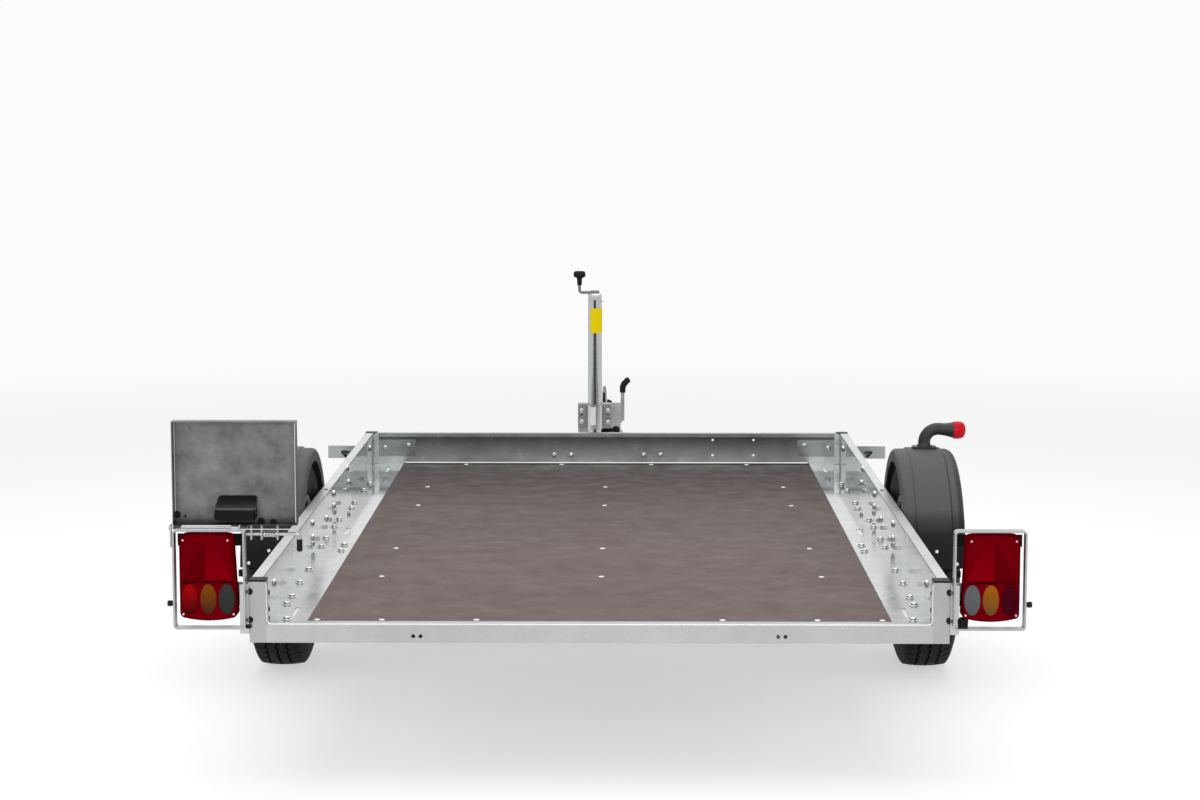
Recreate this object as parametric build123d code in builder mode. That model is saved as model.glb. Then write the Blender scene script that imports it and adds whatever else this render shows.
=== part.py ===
from build123d import *
import math
import os

os.makedirs("parts", exist_ok=True)

# A low single-axle flatbed trailer, in millimetres.
# +Y is the way it is towed, +X is its right side seen from behind, and Z = 0 is the ground.
# Stations are measured forward from the rear edge of the plywood floor.

# ---- Bed ----
bed_length = 2500
bed_half_width = 750
floor_height = 355
wall_height = 99
sheet = 2.5
side_rail_width = 24
side_rail_depth = 14
front_rail_width = 24
front_rail_depth = 17
frame_drop = 41
frame_flange = 30
strip_width = 98
plywood_thickness = 15
fit_gap = 0.3
sill_depth = 40
sill_wall = 2.5
sill_hole_radius = 4.5
sill_hole_drop = 26
sill_hole_centre = 404
sill_hole_spacing = 16
ledge_width = 38
slot_length = 100
slot_width = 10
slot_inset = 58
slot_stations = (105, 1195, 2370)
post_lap = 12
post_width = 37
post_depth = 40
post_rise = 96
post_wall = 2.5
cap_overhang = 1
cap_thickness = 4
cap_plug = 14
cap_chamfer = 1.2
cross_member_stations = (519, 915, 1627, 1982)
cross_member_width = 40
cross_member_height = 35
cross_member_sheet = 2.5
corner_plate_length = 137
corner_plate_bottom = 25
corner_plate_top = 78
corner_plate_thickness = 3
wall_hole_radius = 3.5
wall_hole_centre = (406.5, 53.3)
wall_hole_spacing = (131, 49.4)
side_bracket_reach = 120
side_bracket_bottom = 18
side_bracket_top = 58
side_bracket_sheet = 4
stop_bolt_radius = 5
stop_bolt_length = 40
stop_bolt_reach = 73
stop_bolt_lean = 14
stop_bolt_foot = 8

# ---- Axle and wheels ----
axle_station = 1175
tyre_radius = 280
tyre_width = 142
tread_width = 108
crown_drop = 5
rim_radius = 162
rim_flange = 16
rim_width = 116
rim_sheet = 3
disc_thickness = 4
disc_offset = 22
stud_circle = 100
stud_count = 4
stud_hole_radius = 6.5
hub_radius = 32
hub_flange_width = 34
hub_outer_reach = 46
hub_cap_depth = 10
bearing_clearance = 0.3
stub_end_gap = 2
drum_gap = 2
drum_radius = 112
drum_depth = 42
drum_wall = 6
stub_radius = 15
axle_tube = 70
axle_tube_wall = 5
axle_tube_inset = 38
axle_tube_lead = 110
axle_tube_drop = 103
arm_thickness = 26
arm_radius = 30
backplate_thickness = 4
backplate_gap = 5
axle_bracket_width = 120
axle_bracket_sheet = 6
axle_bracket_inset = 90
axle_bracket_flange = (28, 22)

# ---- Mudguards and marker lamps ----
mudguard_wall_gap = 28
mudguard_side_gap = 9
mudguard_top_gap = 27
mudguard_band_insets = (31, 33)
mudguard_band_rise = 4
mudguard_band_slope = 4
mudguard_sheet = 3
mudguard_inner_skirt = 39
mudguard_outer_skirt = 71
mudguard_inner_shoulder = 10
mudguard_outer_shoulder = 24
mudguard_end_angle = 6.5
mudguard_bracket_stations = (-245, 245)
mudguard_bracket_width = 30
mudguard_bracket_bottom = 40
mudguard_bracket_height = 35
marker_base = (64, 46, 5)
marker_base_corner = 8
marker_arm_radius = 16
marker_arm_inset = 72
marker_arm_height = 48
marker_bend_radius = 36
marker_cup_radius = 23
marker_cup_length = 34
marker_cup_rim = 12
marker_lens_reach = 16
marker_lens_radius = 24
marker_lens_half_width = 15
marker_lens_seat = 4

# ---- Rear lamps, their guards and the number plate tray ----
guard_post_gap = 4
guard_width = 159
guard_bottom = -5
guard_height = 222
guard_bar = 4
guard_depth = 28
guard_corner = 9
guard_lead = 32
bracket_sheet = 3
bracket_bottom = -20
bracket_top = 90
lamp_arm_height = 40
lamp_arm_inset = 20
lamp_inner_gap = 19
lamp_outer_gap = 13
lamp_bottom_gap = 17
lamp_top_gap = 7
lamp_slant = 9
lamp_bulge = 9
lamp_lens_depth = 38
lamp_base_depth = 14
lamp_base_inset = 4
lamp_setback = 10
lamp_corner = 12
lamp_chamfer = 5
lamp_strip_height = 36
lamp_strip_thickness = 3
oval_gap = 5
oval_margin = 2
oval_half_height = 34
oval_height = 49
oval_depth = 22
oval_clearance = 0.3
oval_rise = 2
knob_radius = 6
knob_length = 14
knob_height = 56
tray_guard_inset = 1
tray_width = 273
tray_guard_gap = 9
tray_height = 230
tray_sheet = 2
tray_flange = 30
tray_setback = 8
tray_hinge_rise = 5.5
tray_hinge_lead = 2
hinge_pin_radius = 2.5
hinge_pin_head = 3
knuckle_radius = 4.5
knuckle_length = 16
knuckle_gap = 4
tray_strap_sheet = 3
tray_strap_drop = 38
tray_strap_width = 14
plate_lamp_size = (92, 44, 51)
plate_lamp_shift = 0.5
plate_lamp_lift = 12
latch_drop_below_guard = 12
latch_lead = 22
latch_rod_radius = 4
latch_bend_radius = 9
latch_bend_reach = 4
latch_drop = 36
latch_lugs = (12, 35, 70)
latch_lug_width = 18
latch_lug_sheet = 3
latch_sleeve_wall = 2.5
latch_sleeve_overlap = 24
latch_sleeve_tip = 3

# ---- Drawbar, overrun device and coupling ----
beam_size = 50
beam_wall = 3
beam_rear_station = 1235
beam_rear_x = 279
beam_front_x = 76
beam_head_overlap = 158
wall_bracket_half_width = 45
wall_bracket_sheet = 6
wall_bracket_top = 56
wall_bracket_foot = 52
head_half_width = 45
head_plate = 8
head_base_half_width = 104
head_rear_station = 3012
head_length = 170
housing_lift = 40
housing_height = 112
housing_length = 278
housing_corner = 12
overrun_axis_rise = 43
overrun_tube_radius = 25
overrun_tube_wall = 5
overrun_tube_overlap = 190
gaiter_radius = 36
gaiter_neck_radius = 29
gaiter_length = 176
gaiter_folds = 8
coupling_clamp_gap = 14
coupling_clamp_length = 110
coupling_clamp_radius = 33
coupling_tube_stop = 10
socket_lead = 265
socket_radius = 25.2
socket_wall_radius = 45
socket_drop = 23
socket_skirt = 12
socket_crown = 36
handle_length = 118
handle_width = 16
handle_shift = -14
handle_sheet = 5
handle_setback = 20
handle_rises = (6, 20, 86)
handle_bend = 34
brake_pivot_station = 3150
brake_pivot_rise = 94
brake_lever_width = 13
brake_lever_depth = 26
brake_lever_reach = 20
brake_lever_heel = 20
brake_grip_radius = 9
brake_grip_height = 42
brake_grip_bend = 16
brake_grip_reach = 24

# ---- Jack ----
jack_x = -42
jack_setback = 40
jack_tube_radius = 24
jack_tube_wall = 3
jack_tube_drop = 136
jack_tube_rise = 374
jack_tube_lid = 4
jack_groove_width = 8
jack_groove_depth = 1.5
jack_groove_top = 18
clamp_lift = 109
clamp_height = 82
clamp_half_width = 55
clamp_sheet = 5
clamp_shift = -2.5
clamp_split = 1
clamp_holes = ((-44.5, 46.5, 3.5), (44, 46.5, 3), (44, 33, 3))
jack_leg_radius = 19
jack_leg_wall = 3
jack_leg_length = 417
jack_guide_length = 24
crank_boss_radius = 15
crank_boss_height = 12
crank_throw = 52
crank_rod_radius = 5
crank_bend_radius = 9
crank_stem_height = 18
knob_stem_height = 23
knob_stem_radius = 8
knob_width = 41
knob_cap_height = 25
knob_depth = 24
knob_fillet = 5
fork_plate = 8
fork_plate_radius = 34
fork_half_width = 33
fork_side = 4
fork_trail = 38
fork_wheel_gap = 23
jockey_radius = 100
jockey_width = 48
jockey_hub_radius = 20
jockey_pin_radius = 8

# ---- Sizes that follow from the ones above ----
sides = (("left", -1), ("right", 1))
wall_top = floor_height + wall_height
frame_bottom = floor_height - frame_drop
strip_inner = bed_half_width - strip_width
ledge_top = floor_height - plywood_thickness
ledge_half = strip_inner - fit_gap
post_inner = bed_half_width - post_lap
post_outer = post_inner + post_width
post_top = floor_height + post_rise
side_bracket_start = post_outer + fit_gap
side_bracket_end = post_outer + side_bracket_reach

mudguard_inner = bed_half_width + mudguard_wall_gap
mudguard_outer = mudguard_inner + tyre_width + 2 * mudguard_side_gap
track_half = (mudguard_inner + mudguard_outer) / 2
mudguard_radius = tyre_radius + mudguard_top_gap
axle_tube_half_length = bed_half_width - axle_tube_inset
axle_tube_top = floor_height - axle_tube_drop
beam_top = axle_tube_top + beam_size
marker_arm_x = mudguard_outer - marker_arm_inset
marker_lens_x = mudguard_outer + marker_lens_reach

guard_inner = post_outer + guard_post_gap
guard_outer = guard_inner + guard_width
guard_low = floor_height + guard_bottom
guard_high = guard_low + guard_height
guard_rear_station = -sill_depth - guard_lead
guard_front_station = guard_rear_station + guard_depth
lamp_inner = guard_inner + lamp_inner_gap
lamp_outer = guard_outer - lamp_outer_gap
lamp_low = guard_low + lamp_bottom_gap
lamp_high = guard_high - lamp_top_gap
lamp_rear_station = guard_rear_station + lamp_setback
lens_front_station = lamp_rear_station + lamp_lens_depth
lamp_back_station = lens_front_station + lamp_base_depth
tray_outer = guard_outer - tray_guard_inset
tray_inner = tray_outer - tray_width
tray_low = guard_high + tray_guard_gap
tray_high = tray_low + tray_height
tray_rear_station = guard_rear_station + tray_setback
tray_front_station = tray_rear_station + tray_flange
plate_lamp_front_station = tray_front_station - tray_sheet
plate_lamp_rear_station = plate_lamp_front_station - plate_lamp_size[1]

beam_front_station = head_rear_station + beam_head_overlap
head_front_station = head_rear_station + head_length
housing_bottom = beam_top + housing_lift
housing_top = housing_bottom + housing_height
housing_front_station = head_rear_station + housing_length
overrun_axis = housing_bottom + overrun_axis_rise
overrun_tube_rear_station = housing_front_station - overrun_tube_overlap
coupling_clamp_station = housing_front_station + gaiter_length + coupling_clamp_gap
clamp_front_station = coupling_clamp_station + coupling_clamp_length
socket_station = coupling_clamp_station + socket_lead
socket_height = overrun_axis - socket_drop
jack_station = head_rear_station - jack_setback
clamp_bottom = beam_top + clamp_lift
clamp_top = clamp_bottom + clamp_height
jack_tube_bottom = clamp_bottom - jack_tube_drop
jack_tube_top = clamp_top + jack_tube_rise
clamp_x = jack_x + clamp_shift
fork_top = 2 * jockey_radius + fork_wheel_gap

# The origin is under the middle of the overall length, from the plate lamp to the coupling.
bed_rear_y = -(socket_station + socket_wall_radius + plate_lamp_rear_station) / 2


def along(station):
    """Y of a station measured forward from the rear edge of the floor."""
    return bed_rear_y + station


def save(part, name):
    part.label = name
    export_step(part, f"parts/{name}.step")


def box(x0, x1, station0, station1, z0, z1, mode=Mode.ADD):
    """A box between two X values, two stations and two heights, inside the open part."""
    width, depth, height = abs(x1 - x0), abs(station1 - station0), abs(z1 - z0)
    centre = ((x0 + x1) / 2, along((station0 + station1) / 2), (z0 + z1) / 2)
    with Locations(centre):
        return Box(width, depth, height, mode=mode)


def rod(start, end, radius, mode=Mode.ADD):
    """A round bar between two points, inside the open part."""
    direction = Vector(*end) - Vector(*start)
    with BuildSketch(Plane(origin=start, z_dir=direction)) as section:
        Circle(radius)
    return extrude(section.sketch, amount=direction.length, mode=mode)


# ---- Side walls: one folded section with the top rail, the wall, the floor strip and its lips ----
wall_section = [
    (bed_half_width, wall_top),
    (bed_half_width + side_rail_width, wall_top),
    (bed_half_width + side_rail_width, wall_top - side_rail_depth),
    (bed_half_width + side_rail_width - sheet, wall_top - side_rail_depth),
    (bed_half_width + side_rail_width - sheet, wall_top - sheet),
    (bed_half_width + sheet, wall_top - sheet),
    (bed_half_width + sheet, frame_bottom),
    (bed_half_width - frame_flange, frame_bottom),
    (bed_half_width - frame_flange, frame_bottom + sheet),
    (bed_half_width, frame_bottom + sheet),
    (bed_half_width, floor_height - sheet),
    (strip_inner + sheet, floor_height - sheet),
    (strip_inner + sheet, frame_bottom),
    (strip_inner, frame_bottom),
    (strip_inner, floor_height),
    (bed_half_width, floor_height),
]
with BuildPart() as side_walls:
    with BuildSketch(Plane.XZ.offset(-along(0))):
        with BuildLine():
            Polyline(*wall_section, close=True)
        make_face()
    extrude(amount=-bed_length)
    with BuildSketch(Plane.XY.offset(floor_height)):
        with Locations(*[(bed_half_width - slot_inset, along(station)) for station in slot_stations]):
            SlotOverall(slot_length, slot_width, rotation=90)
    extrude(amount=-2 * sheet, mode=Mode.SUBTRACT)
    mirror(about=Plane.YZ)
save(side_walls.part, "side_walls")

# ---- Front wall: the same height between the front posts, with its rail ahead of the panel ----
front_section = [
    (bed_length, wall_top),
    (bed_length + front_rail_width, wall_top),
    (bed_length + front_rail_width, wall_top - front_rail_depth),
    (bed_length + front_rail_width - sheet, wall_top - front_rail_depth),
    (bed_length + front_rail_width - sheet, wall_top - sheet),
    (bed_length + sheet, wall_top - sheet),
    (bed_length + sheet, frame_bottom),
    (bed_length, frame_bottom),
]
with BuildPart() as front_wall:
    with BuildSketch(Plane.YZ.offset(-post_inner)):
        with BuildLine():
            Polyline(*[(along(s), z) for s, z in front_section], close=True)
        make_face()
    extrude(amount=2 * post_inner)
    box(-ledge_half, ledge_half, bed_length - ledge_width, bed_length, ledge_top - sheet, ledge_top)
    with BuildSketch(Plane.XZ.offset(-along(bed_length))):
        with Locations((wall_hole_centre[0], floor_height + wall_hole_centre[1])):
            with GridLocations(*wall_hole_spacing, 2, 2):
                Circle(wall_hole_radius)
    extrude(amount=-2 * sheet, mode=Mode.SUBTRACT)
save(front_wall.part, "front_wall")

# ---- Rear sill: a box section between the rear posts, with the ledge under the plywood ----
with BuildPart() as rear_sill:
    box(-post_inner, post_inner, -sill_depth, 0, frame_bottom, floor_height)
    box(-post_inner, post_inner, sill_wall - sill_depth, -sill_wall,
        frame_bottom + sill_wall, floor_height - sill_wall, mode=Mode.SUBTRACT)
    box(-ledge_half, ledge_half, 0, ledge_width, ledge_top - sheet, ledge_top)
    with BuildSketch(Plane.XZ.offset(-along(-sill_depth))):
        for side in (-1, 1):
            with Locations((side * sill_hole_centre, floor_height - sill_hole_drop)):
                with GridLocations(sill_hole_spacing, 1, 2, 1):
                    Circle(sill_hole_radius)
    extrude(amount=-2 * sill_wall, mode=Mode.SUBTRACT)
save(rear_sill.part, "rear_sill")

# ---- Corner posts: square tubes, each closed by a black cap with a plug ----
post_starts = (-post_depth, bed_length)
with BuildPart() as corner_posts:
    for start in post_starts:
        for side in (-1, 1):
            box(side * post_inner, side * post_outer, start, start + post_depth, frame_bottom, post_top)
            box(side * (post_inner + post_wall), side * (post_outer - post_wall), start + post_wall,
                start + post_depth - post_wall, frame_bottom, post_top, mode=Mode.SUBTRACT)
save(corner_posts.part, "corner_posts")

cap_stations = (
    (-post_depth - cap_overhang, -fit_gap),
    (bed_length + fit_gap, bed_length + post_depth + cap_overhang),
)
with BuildPart() as corner_caps:
    for (cap_rear, cap_front), start in zip(cap_stations, post_starts):
        for side in (-1, 1):
            box(side * (post_inner + fit_gap), side * (post_outer + cap_overhang), cap_rear, cap_front,
                post_top, post_top + cap_thickness)
            inset = post_wall + fit_gap
            box(side * (post_inner + inset), side * (post_outer - inset), start + inset,
                start + post_depth - inset, post_top - cap_plug, post_top)
    top_edges = corner_caps.faces().group_by(Axis.Z)[-1].edges()
    chamfer(top_edges, length=cap_chamfer)
save(corner_caps.part, "corner_caps")

# ---- Plywood floor ----
with BuildPart() as floor_panel:
    box(-ledge_half, ledge_half, fit_gap, bed_length - fit_gap, ledge_top, floor_height)
save(floor_panel.part, "floor_panel")

# ---- Cross members: channels under the plywood, between the lips of the floor strips ----
with BuildPart() as cross_members:
    for station in cross_member_stations:
        front = station + cross_member_width / 2
        rear = station - cross_member_width / 2
        box(-ledge_half, ledge_half, rear, front, ledge_top - cross_member_height, ledge_top)
        box(-ledge_half, ledge_half, rear, front - cross_member_sheet,
            ledge_top - cross_member_height + cross_member_sheet, ledge_top - cross_member_sheet,
            mode=Mode.SUBTRACT)
save(cross_members.part, "cross_members")

# ---- Corner brackets: a plate inside that splices the front wall, and one that reaches out at each side ----
side_bracket_z = (floor_height + side_bracket_bottom, floor_height + side_bracket_top)
with BuildPart() as corner_brackets:
    box(bed_half_width - corner_plate_length, bed_half_width - fit_gap, bed_length - corner_plate_thickness,
        bed_length, floor_height + corner_plate_bottom, floor_height + corner_plate_top)
    box(side_bracket_start, side_bracket_end, bed_length, bed_length + side_bracket_sheet, *side_bracket_z)
    box(side_bracket_start, side_bracket_start + side_bracket_sheet, bed_length, bed_length + post_depth,
        *side_bracket_z)
    mirror(about=Plane.YZ)
save(corner_brackets.part, "corner_brackets")

# ---- Drawbar: two square tubes from the axle to the drawbar head ----
beam_middle = axle_tube_top + beam_size / 2
beam_rear = Vector(beam_rear_x, along(beam_rear_station), beam_middle)
beam_front = Vector(beam_front_x, along(beam_front_station), beam_middle)
beam_run = beam_front - beam_rear
with BuildPart() as drawbar_beams:
    with BuildSketch(Plane(origin=beam_rear, x_dir=beam_run.cross(Vector(0, 0, 1)), z_dir=beam_run)):
        Rectangle(beam_size, beam_size)
        Rectangle(beam_size - 2 * beam_wall, beam_size - 2 * beam_wall, mode=Mode.SUBTRACT)
    extrude(amount=beam_run.length)
    mirror(about=Plane.YZ)
save(drawbar_beams.part, "drawbar_beams")


def beam_x(station):
    """Distance of a drawbar tube's middle from the centre line at a station."""
    share = (station - beam_rear_station) / (beam_front_station - beam_rear_station)
    return beam_rear_x + share * (beam_front_x - beam_rear_x)


# ---- Angle brackets that bolt the drawbar tubes to the front wall ----
with BuildPart() as drawbar_brackets:
    bracket_rear = bed_length + sheet
    for side in (-1, 1):
        middle = side * beam_x(bracket_rear)
        box(middle - wall_bracket_half_width, middle + wall_bracket_half_width, bracket_rear,
            bracket_rear + wall_bracket_sheet, beam_top, floor_height + wall_bracket_top)
        box(middle - wall_bracket_half_width, middle + wall_bracket_half_width, bracket_rear,
            bracket_rear + wall_bracket_foot, beam_top, beam_top + wall_bracket_sheet)
save(drawbar_brackets.part, "drawbar_brackets")

# ---- Axle: square tube across, brackets up to the side walls, trailing arms with stub shafts ----
wheel_y = along(axle_station)
tube_station = axle_station + axle_tube_lead
tube_middle = axle_tube_top - axle_tube / 2
with BuildPart() as axle_beam:
    half = axle_tube / 2
    box(-axle_tube_half_length, axle_tube_half_length, tube_station - half, tube_station + half,
        tube_middle - half, axle_tube_top)
    inner = half - axle_tube_wall
    box(-axle_tube_half_length, axle_tube_half_length, tube_station - inner, tube_station + inner,
        tube_middle - inner, tube_middle + inner, mode=Mode.SUBTRACT)
save(axle_beam.part, "axle_beam")

with BuildPart() as axle_brackets:
    bracket_front = tube_station + axle_bracket_width / 2
    bracket_back = tube_station - axle_bracket_width / 2
    web = bed_half_width - axle_bracket_inset
    flange_in, flange_out = axle_bracket_flange
    for side in (-1, 1):
        box(side * (web - flange_in), side * (web + flange_out), bracket_back, bracket_front,
            axle_tube_top, axle_tube_top + axle_bracket_sheet)
        box(side * web, side * (web + axle_bracket_sheet), bracket_back, bracket_front,
            axle_tube_top, floor_height - sheet)
save(axle_brackets.part, "axle_brackets")

arm_run = Vector(along(tube_station) - wheel_y, tube_middle - tyre_radius)
arm_angle = math.degrees(math.atan2(arm_run.Y, arm_run.X))
arm_middle = (wheel_y + arm_run.X / 2, tyre_radius + arm_run.Y / 2)
backplate_x = bed_half_width + sheet + backplate_gap
with BuildPart() as swing_arms:
    arm_face = axle_tube_half_length + fit_gap
    with BuildSketch(Plane.YZ.offset(arm_face)):
        with Locations(arm_middle):
            SlotCenterToCenter(arm_run.length, 2 * arm_radius, rotation=arm_angle)
    extrude(amount=arm_thickness)
    axle_end = (track_half + hub_outer_reach - hub_cap_depth - stub_end_gap, wheel_y, tyre_radius)
    rod((arm_face, wheel_y, tyre_radius), axle_end, stub_radius)
    rod((arm_face, wheel_y, tyre_radius), (backplate_x, wheel_y, tyre_radius), arm_radius)
    rod((backplate_x, wheel_y, tyre_radius), (backplate_x + backplate_thickness, wheel_y, tyre_radius),
        drum_radius - drum_wall)
    mirror(about=Plane.YZ)
save(swing_arms.part, "swing_arms")

# ---- Wheels: each a hub with its brake drum, a pressed rim and a tyre, all turned about the axle ----
drum_open_x = backplate_x + backplate_thickness + drum_gap
hub_bore_radius = stub_radius + bearing_clearance
hub_flange_radius = hub_radius + hub_flange_width
rim_flange_radius = rim_radius + rim_flange
drum_face_x = drum_open_x + drum_depth
disc_x = track_half - disc_offset
disc_back_x = disc_x - disc_thickness
hub_end_x = track_half + hub_outer_reach
cap_floor_x = hub_end_x - hub_cap_depth
seat_radius = rim_radius + fit_gap
lip_radius = rim_flange_radius + fit_gap
bead_x = rim_width / 2 - rim_sheet - fit_gap
sidewall_radius = (rim_radius + tyre_radius) / 2
wheel_axis = Axis((0, wheel_y, tyre_radius), (1, 0, 0))
wheel_plane = Plane(origin=(0, wheel_y, tyre_radius), x_dir=(1, 0, 0), z_dir=(0, -1, 0))


def across(side, points):
    """Points of a turned section, given as distances from the centre line, on the asked side."""
    return [(side * x, radius) for x, radius in points]


for side_name, side in sides:
    inner_bead, inner_lip, inner_wall, inner_shoulder, crown = across(side, (
        (track_half - bead_x, seat_radius),
        (track_half - bead_x, lip_radius),
        (track_half - tyre_width / 2, sidewall_radius),
        (track_half - tread_width / 2, tyre_radius - crown_drop),
        (track_half, tyre_radius),
    ))
    outer_shoulder, outer_wall, outer_lip, outer_bead = across(side, (
        (track_half + tread_width / 2, tyre_radius - crown_drop),
        (track_half + tyre_width / 2, sidewall_radius),
        (track_half + bead_x, lip_radius),
        (track_half + bead_x, seat_radius),
    ))
    with BuildPart() as tyre:
        with BuildSketch(wheel_plane):
            with BuildLine():
                Line(inner_bead, inner_lip)
                ThreePointArc(inner_lip, inner_wall, inner_shoulder)
                ThreePointArc(inner_shoulder, crown, outer_shoulder)
                ThreePointArc(outer_shoulder, outer_wall, outer_lip)
                Polyline(outer_lip, outer_bead, inner_bead)
            make_face()
        revolve(axis=wheel_axis)
    save(tyre.part, f"tyre_{side_name}")

    rim_inner = track_half - rim_width / 2
    rim_outer = track_half + rim_width / 2
    barrel_inside = rim_radius - rim_sheet
    rim_section = across(side, (
        (rim_inner, rim_flange_radius),
        (rim_inner + rim_sheet, rim_flange_radius),
        (rim_inner + rim_sheet, rim_radius),
        (rim_outer - rim_sheet, rim_radius),
        (rim_outer - rim_sheet, rim_flange_radius),
        (rim_outer, rim_flange_radius),
        (rim_outer, barrel_inside),
        (disc_x, barrel_inside),
        (disc_x, hub_radius + fit_gap),
        (disc_back_x, hub_radius + fit_gap),
        (disc_back_x, barrel_inside),
        (rim_inner, barrel_inside),
    ))
    with BuildPart() as rim:
        with BuildSketch(wheel_plane):
            with BuildLine():
                Polyline(*rim_section, close=True)
            make_face()
        revolve(axis=wheel_axis)
        with BuildSketch(Plane.YZ.offset(side * disc_x)):
            with Locations((wheel_y, tyre_radius)):
                with PolarLocations(stud_circle / 2, stud_count, start_angle=45):
                    Circle(stud_hole_radius)
        extrude(amount=disc_thickness, both=True, mode=Mode.SUBTRACT)
    save(rim.part, f"rim_{side_name}")

    hub_section = across(side, (
        (drum_open_x, drum_radius),
        (drum_face_x, drum_radius),
        (drum_face_x, hub_flange_radius),
        (disc_back_x, hub_flange_radius),
        (disc_back_x, hub_radius),
        (hub_end_x, hub_radius),
        (hub_end_x, 0),
        (cap_floor_x, 0),
        (cap_floor_x, hub_bore_radius),
        (drum_face_x - drum_wall, hub_bore_radius),
        (drum_face_x - drum_wall, drum_radius - drum_wall),
        (drum_open_x, drum_radius - drum_wall),
    ))
    with BuildPart() as hub:
        with BuildSketch(wheel_plane):
            with BuildLine():
                Polyline(*hub_section, close=True)
            make_face()
        revolve(axis=wheel_axis)
    save(hub.part, f"hub_{side_name}")

# ---- Mudguards: a shell turned over the wheel, with a raised band and a skirt on each side ----
start_turn = math.radians(mudguard_end_angle)
band_inner = mudguard_inner + mudguard_band_insets[0]
band_outer = mudguard_outer - mudguard_band_insets[1]


def shell_outline(inset, band_shift):
    """One face of the mudguard's section, moved inward, as points from the inner skirt to the outer one."""
    low = mudguard_radius - mudguard_band_rise - inset
    high = mudguard_radius - inset
    inner, outer = mudguard_inner + inset, mudguard_outer - inset
    inner_round = mudguard_inner_shoulder - inset
    outer_round = mudguard_outer_shoulder - inset
    return (
        Vector(inner, mudguard_radius - mudguard_inner_skirt),
        Vector(inner, low - inner_round),
        Vector(inner + inner_round, low),
        Vector(band_inner + band_shift, low),
        Vector(band_inner + band_shift + mudguard_band_slope, high),
        Vector(band_outer - band_shift - mudguard_band_slope, high),
        Vector(band_outer - band_shift, low),
        Vector(outer - outer_round, low),
        Vector(outer, low - outer_round),
        Vector(outer, mudguard_radius - mudguard_outer_skirt),
    )


outside = shell_outline(0, 0)
inside = shell_outline(mudguard_sheet, mudguard_sheet / 2)
with BuildPart() as mudguards:
    start_normal = (0, -math.sin(start_turn), math.cos(start_turn))
    with BuildSketch(Plane(origin=(0, wheel_y, tyre_radius), x_dir=(1, 0, 0), z_dir=start_normal)):
        with BuildLine():
            for face in (outside, inside):
                Line(face[0], face[1])
                RadiusArc(face[1], face[2], face[2].X - face[1].X)
                Polyline(*face[2:8])
                RadiusArc(face[7], face[8], face[8].X - face[7].X)
                Line(face[8], face[9])
            Line(outside[0], inside[0])
            Line(outside[9], inside[9])
        make_face()
    revolve(axis=wheel_axis, revolution_arc=180 - 2 * mudguard_end_angle)
    mirror(about=Plane.YZ)
save(mudguards.part, "mudguards")

mudguard_bracket_low = floor_height + mudguard_bracket_bottom
with BuildPart() as mudguard_brackets:
    for offset in mudguard_bracket_stations:
        bracket_rear = axle_station + offset - mudguard_bracket_width / 2
        box(bed_half_width + sheet + fit_gap, mudguard_inner - fit_gap, bracket_rear,
            bracket_rear + mudguard_bracket_width, mudguard_bracket_low,
            mudguard_bracket_low + mudguard_bracket_height)
    mirror(about=Plane.YZ)
save(mudguard_brackets.part, "mudguard_brackets")

# ---- Marker lamps: a rubber arm on each mudguard, bent outward, with a lens at its end ----
marker_foot = tyre_radius + mudguard_radius + fit_gap
arm_top = marker_foot + marker_arm_height
cup_end = marker_lens_x - marker_lens_half_width + marker_lens_seat
marker_plane = Plane(origin=(0, wheel_y, arm_top), x_dir=(1, 0, 0), z_dir=(0, -1, 0))
marker_axis = Axis((0, wheel_y, arm_top), (1, 0, 0))
with BuildPart() as marker_arms:
    base_width, base_length, base_thickness = marker_base
    with BuildSketch(Plane.XY.offset(marker_foot)):
        with Locations((marker_arm_x, wheel_y)):
            RectangleRounded(base_width, base_length, marker_base_corner)
    extrude(amount=base_thickness)
    with BuildLine() as arm_path:
        FilletPolyline(
            (marker_arm_x, wheel_y, marker_foot + base_thickness / 2),
            (marker_arm_x, wheel_y, arm_top),
            (cup_end - marker_cup_length, wheel_y, arm_top),
            radius=marker_bend_radius)
    with BuildSketch(Plane(origin=arm_path.line @ 0, z_dir=arm_path.line % 0)):
        Circle(marker_arm_radius)
    sweep(path=arm_path.line)
    with BuildSketch(marker_plane):
        with BuildLine():
            cup_start = cup_end - marker_cup_length
            Polyline(
                (cup_start, 0), (cup_start, marker_arm_radius), (cup_end - marker_cup_rim, marker_cup_radius),
                (cup_end, marker_cup_radius), (cup_end, 0), close=True)
        make_face()
    revolve(axis=marker_axis)
    mirror(about=Plane.YZ)
save(marker_arms.part, "marker_arms")

lens_cut = (cup_end + fit_gap - marker_lens_x) / marker_lens_half_width
with BuildPart() as marker_lenses:
    with BuildSketch(marker_plane):
        with BuildLine():
            lens_arc = EllipticalCenterArc((marker_lens_x, 0), marker_lens_half_width, marker_lens_radius,
                                           start_angle=0, arc_size=math.degrees(math.acos(lens_cut)))
            Polyline(lens_arc @ 1, ((lens_arc @ 1).X, 0), lens_arc @ 0)
        make_face()
    revolve(axis=marker_axis)
    mirror(about=Plane.YZ)
save(marker_lenses.part, "marker_lenses")

# ---- Rear lamps: a flat-bar guard, the bracket on the corner post, and the lamp in front of it ----
guard_middle = ((guard_inner + guard_outer) / 2, guard_low + guard_height / 2)
with BuildPart() as lamp_guards:
    with BuildSketch(Plane.XZ.offset(-along(guard_rear_station))):
        with Locations(guard_middle):
            RectangleRounded(guard_width, guard_height, guard_corner)
            RectangleRounded(guard_width - 2 * guard_bar, guard_height - 2 * guard_bar,
                             guard_corner - guard_bar, mode=Mode.SUBTRACT)
    extrude(amount=-guard_depth)
    mirror(about=Plane.YZ)
save(lamp_guards.part, "lamp_guards")

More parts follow.
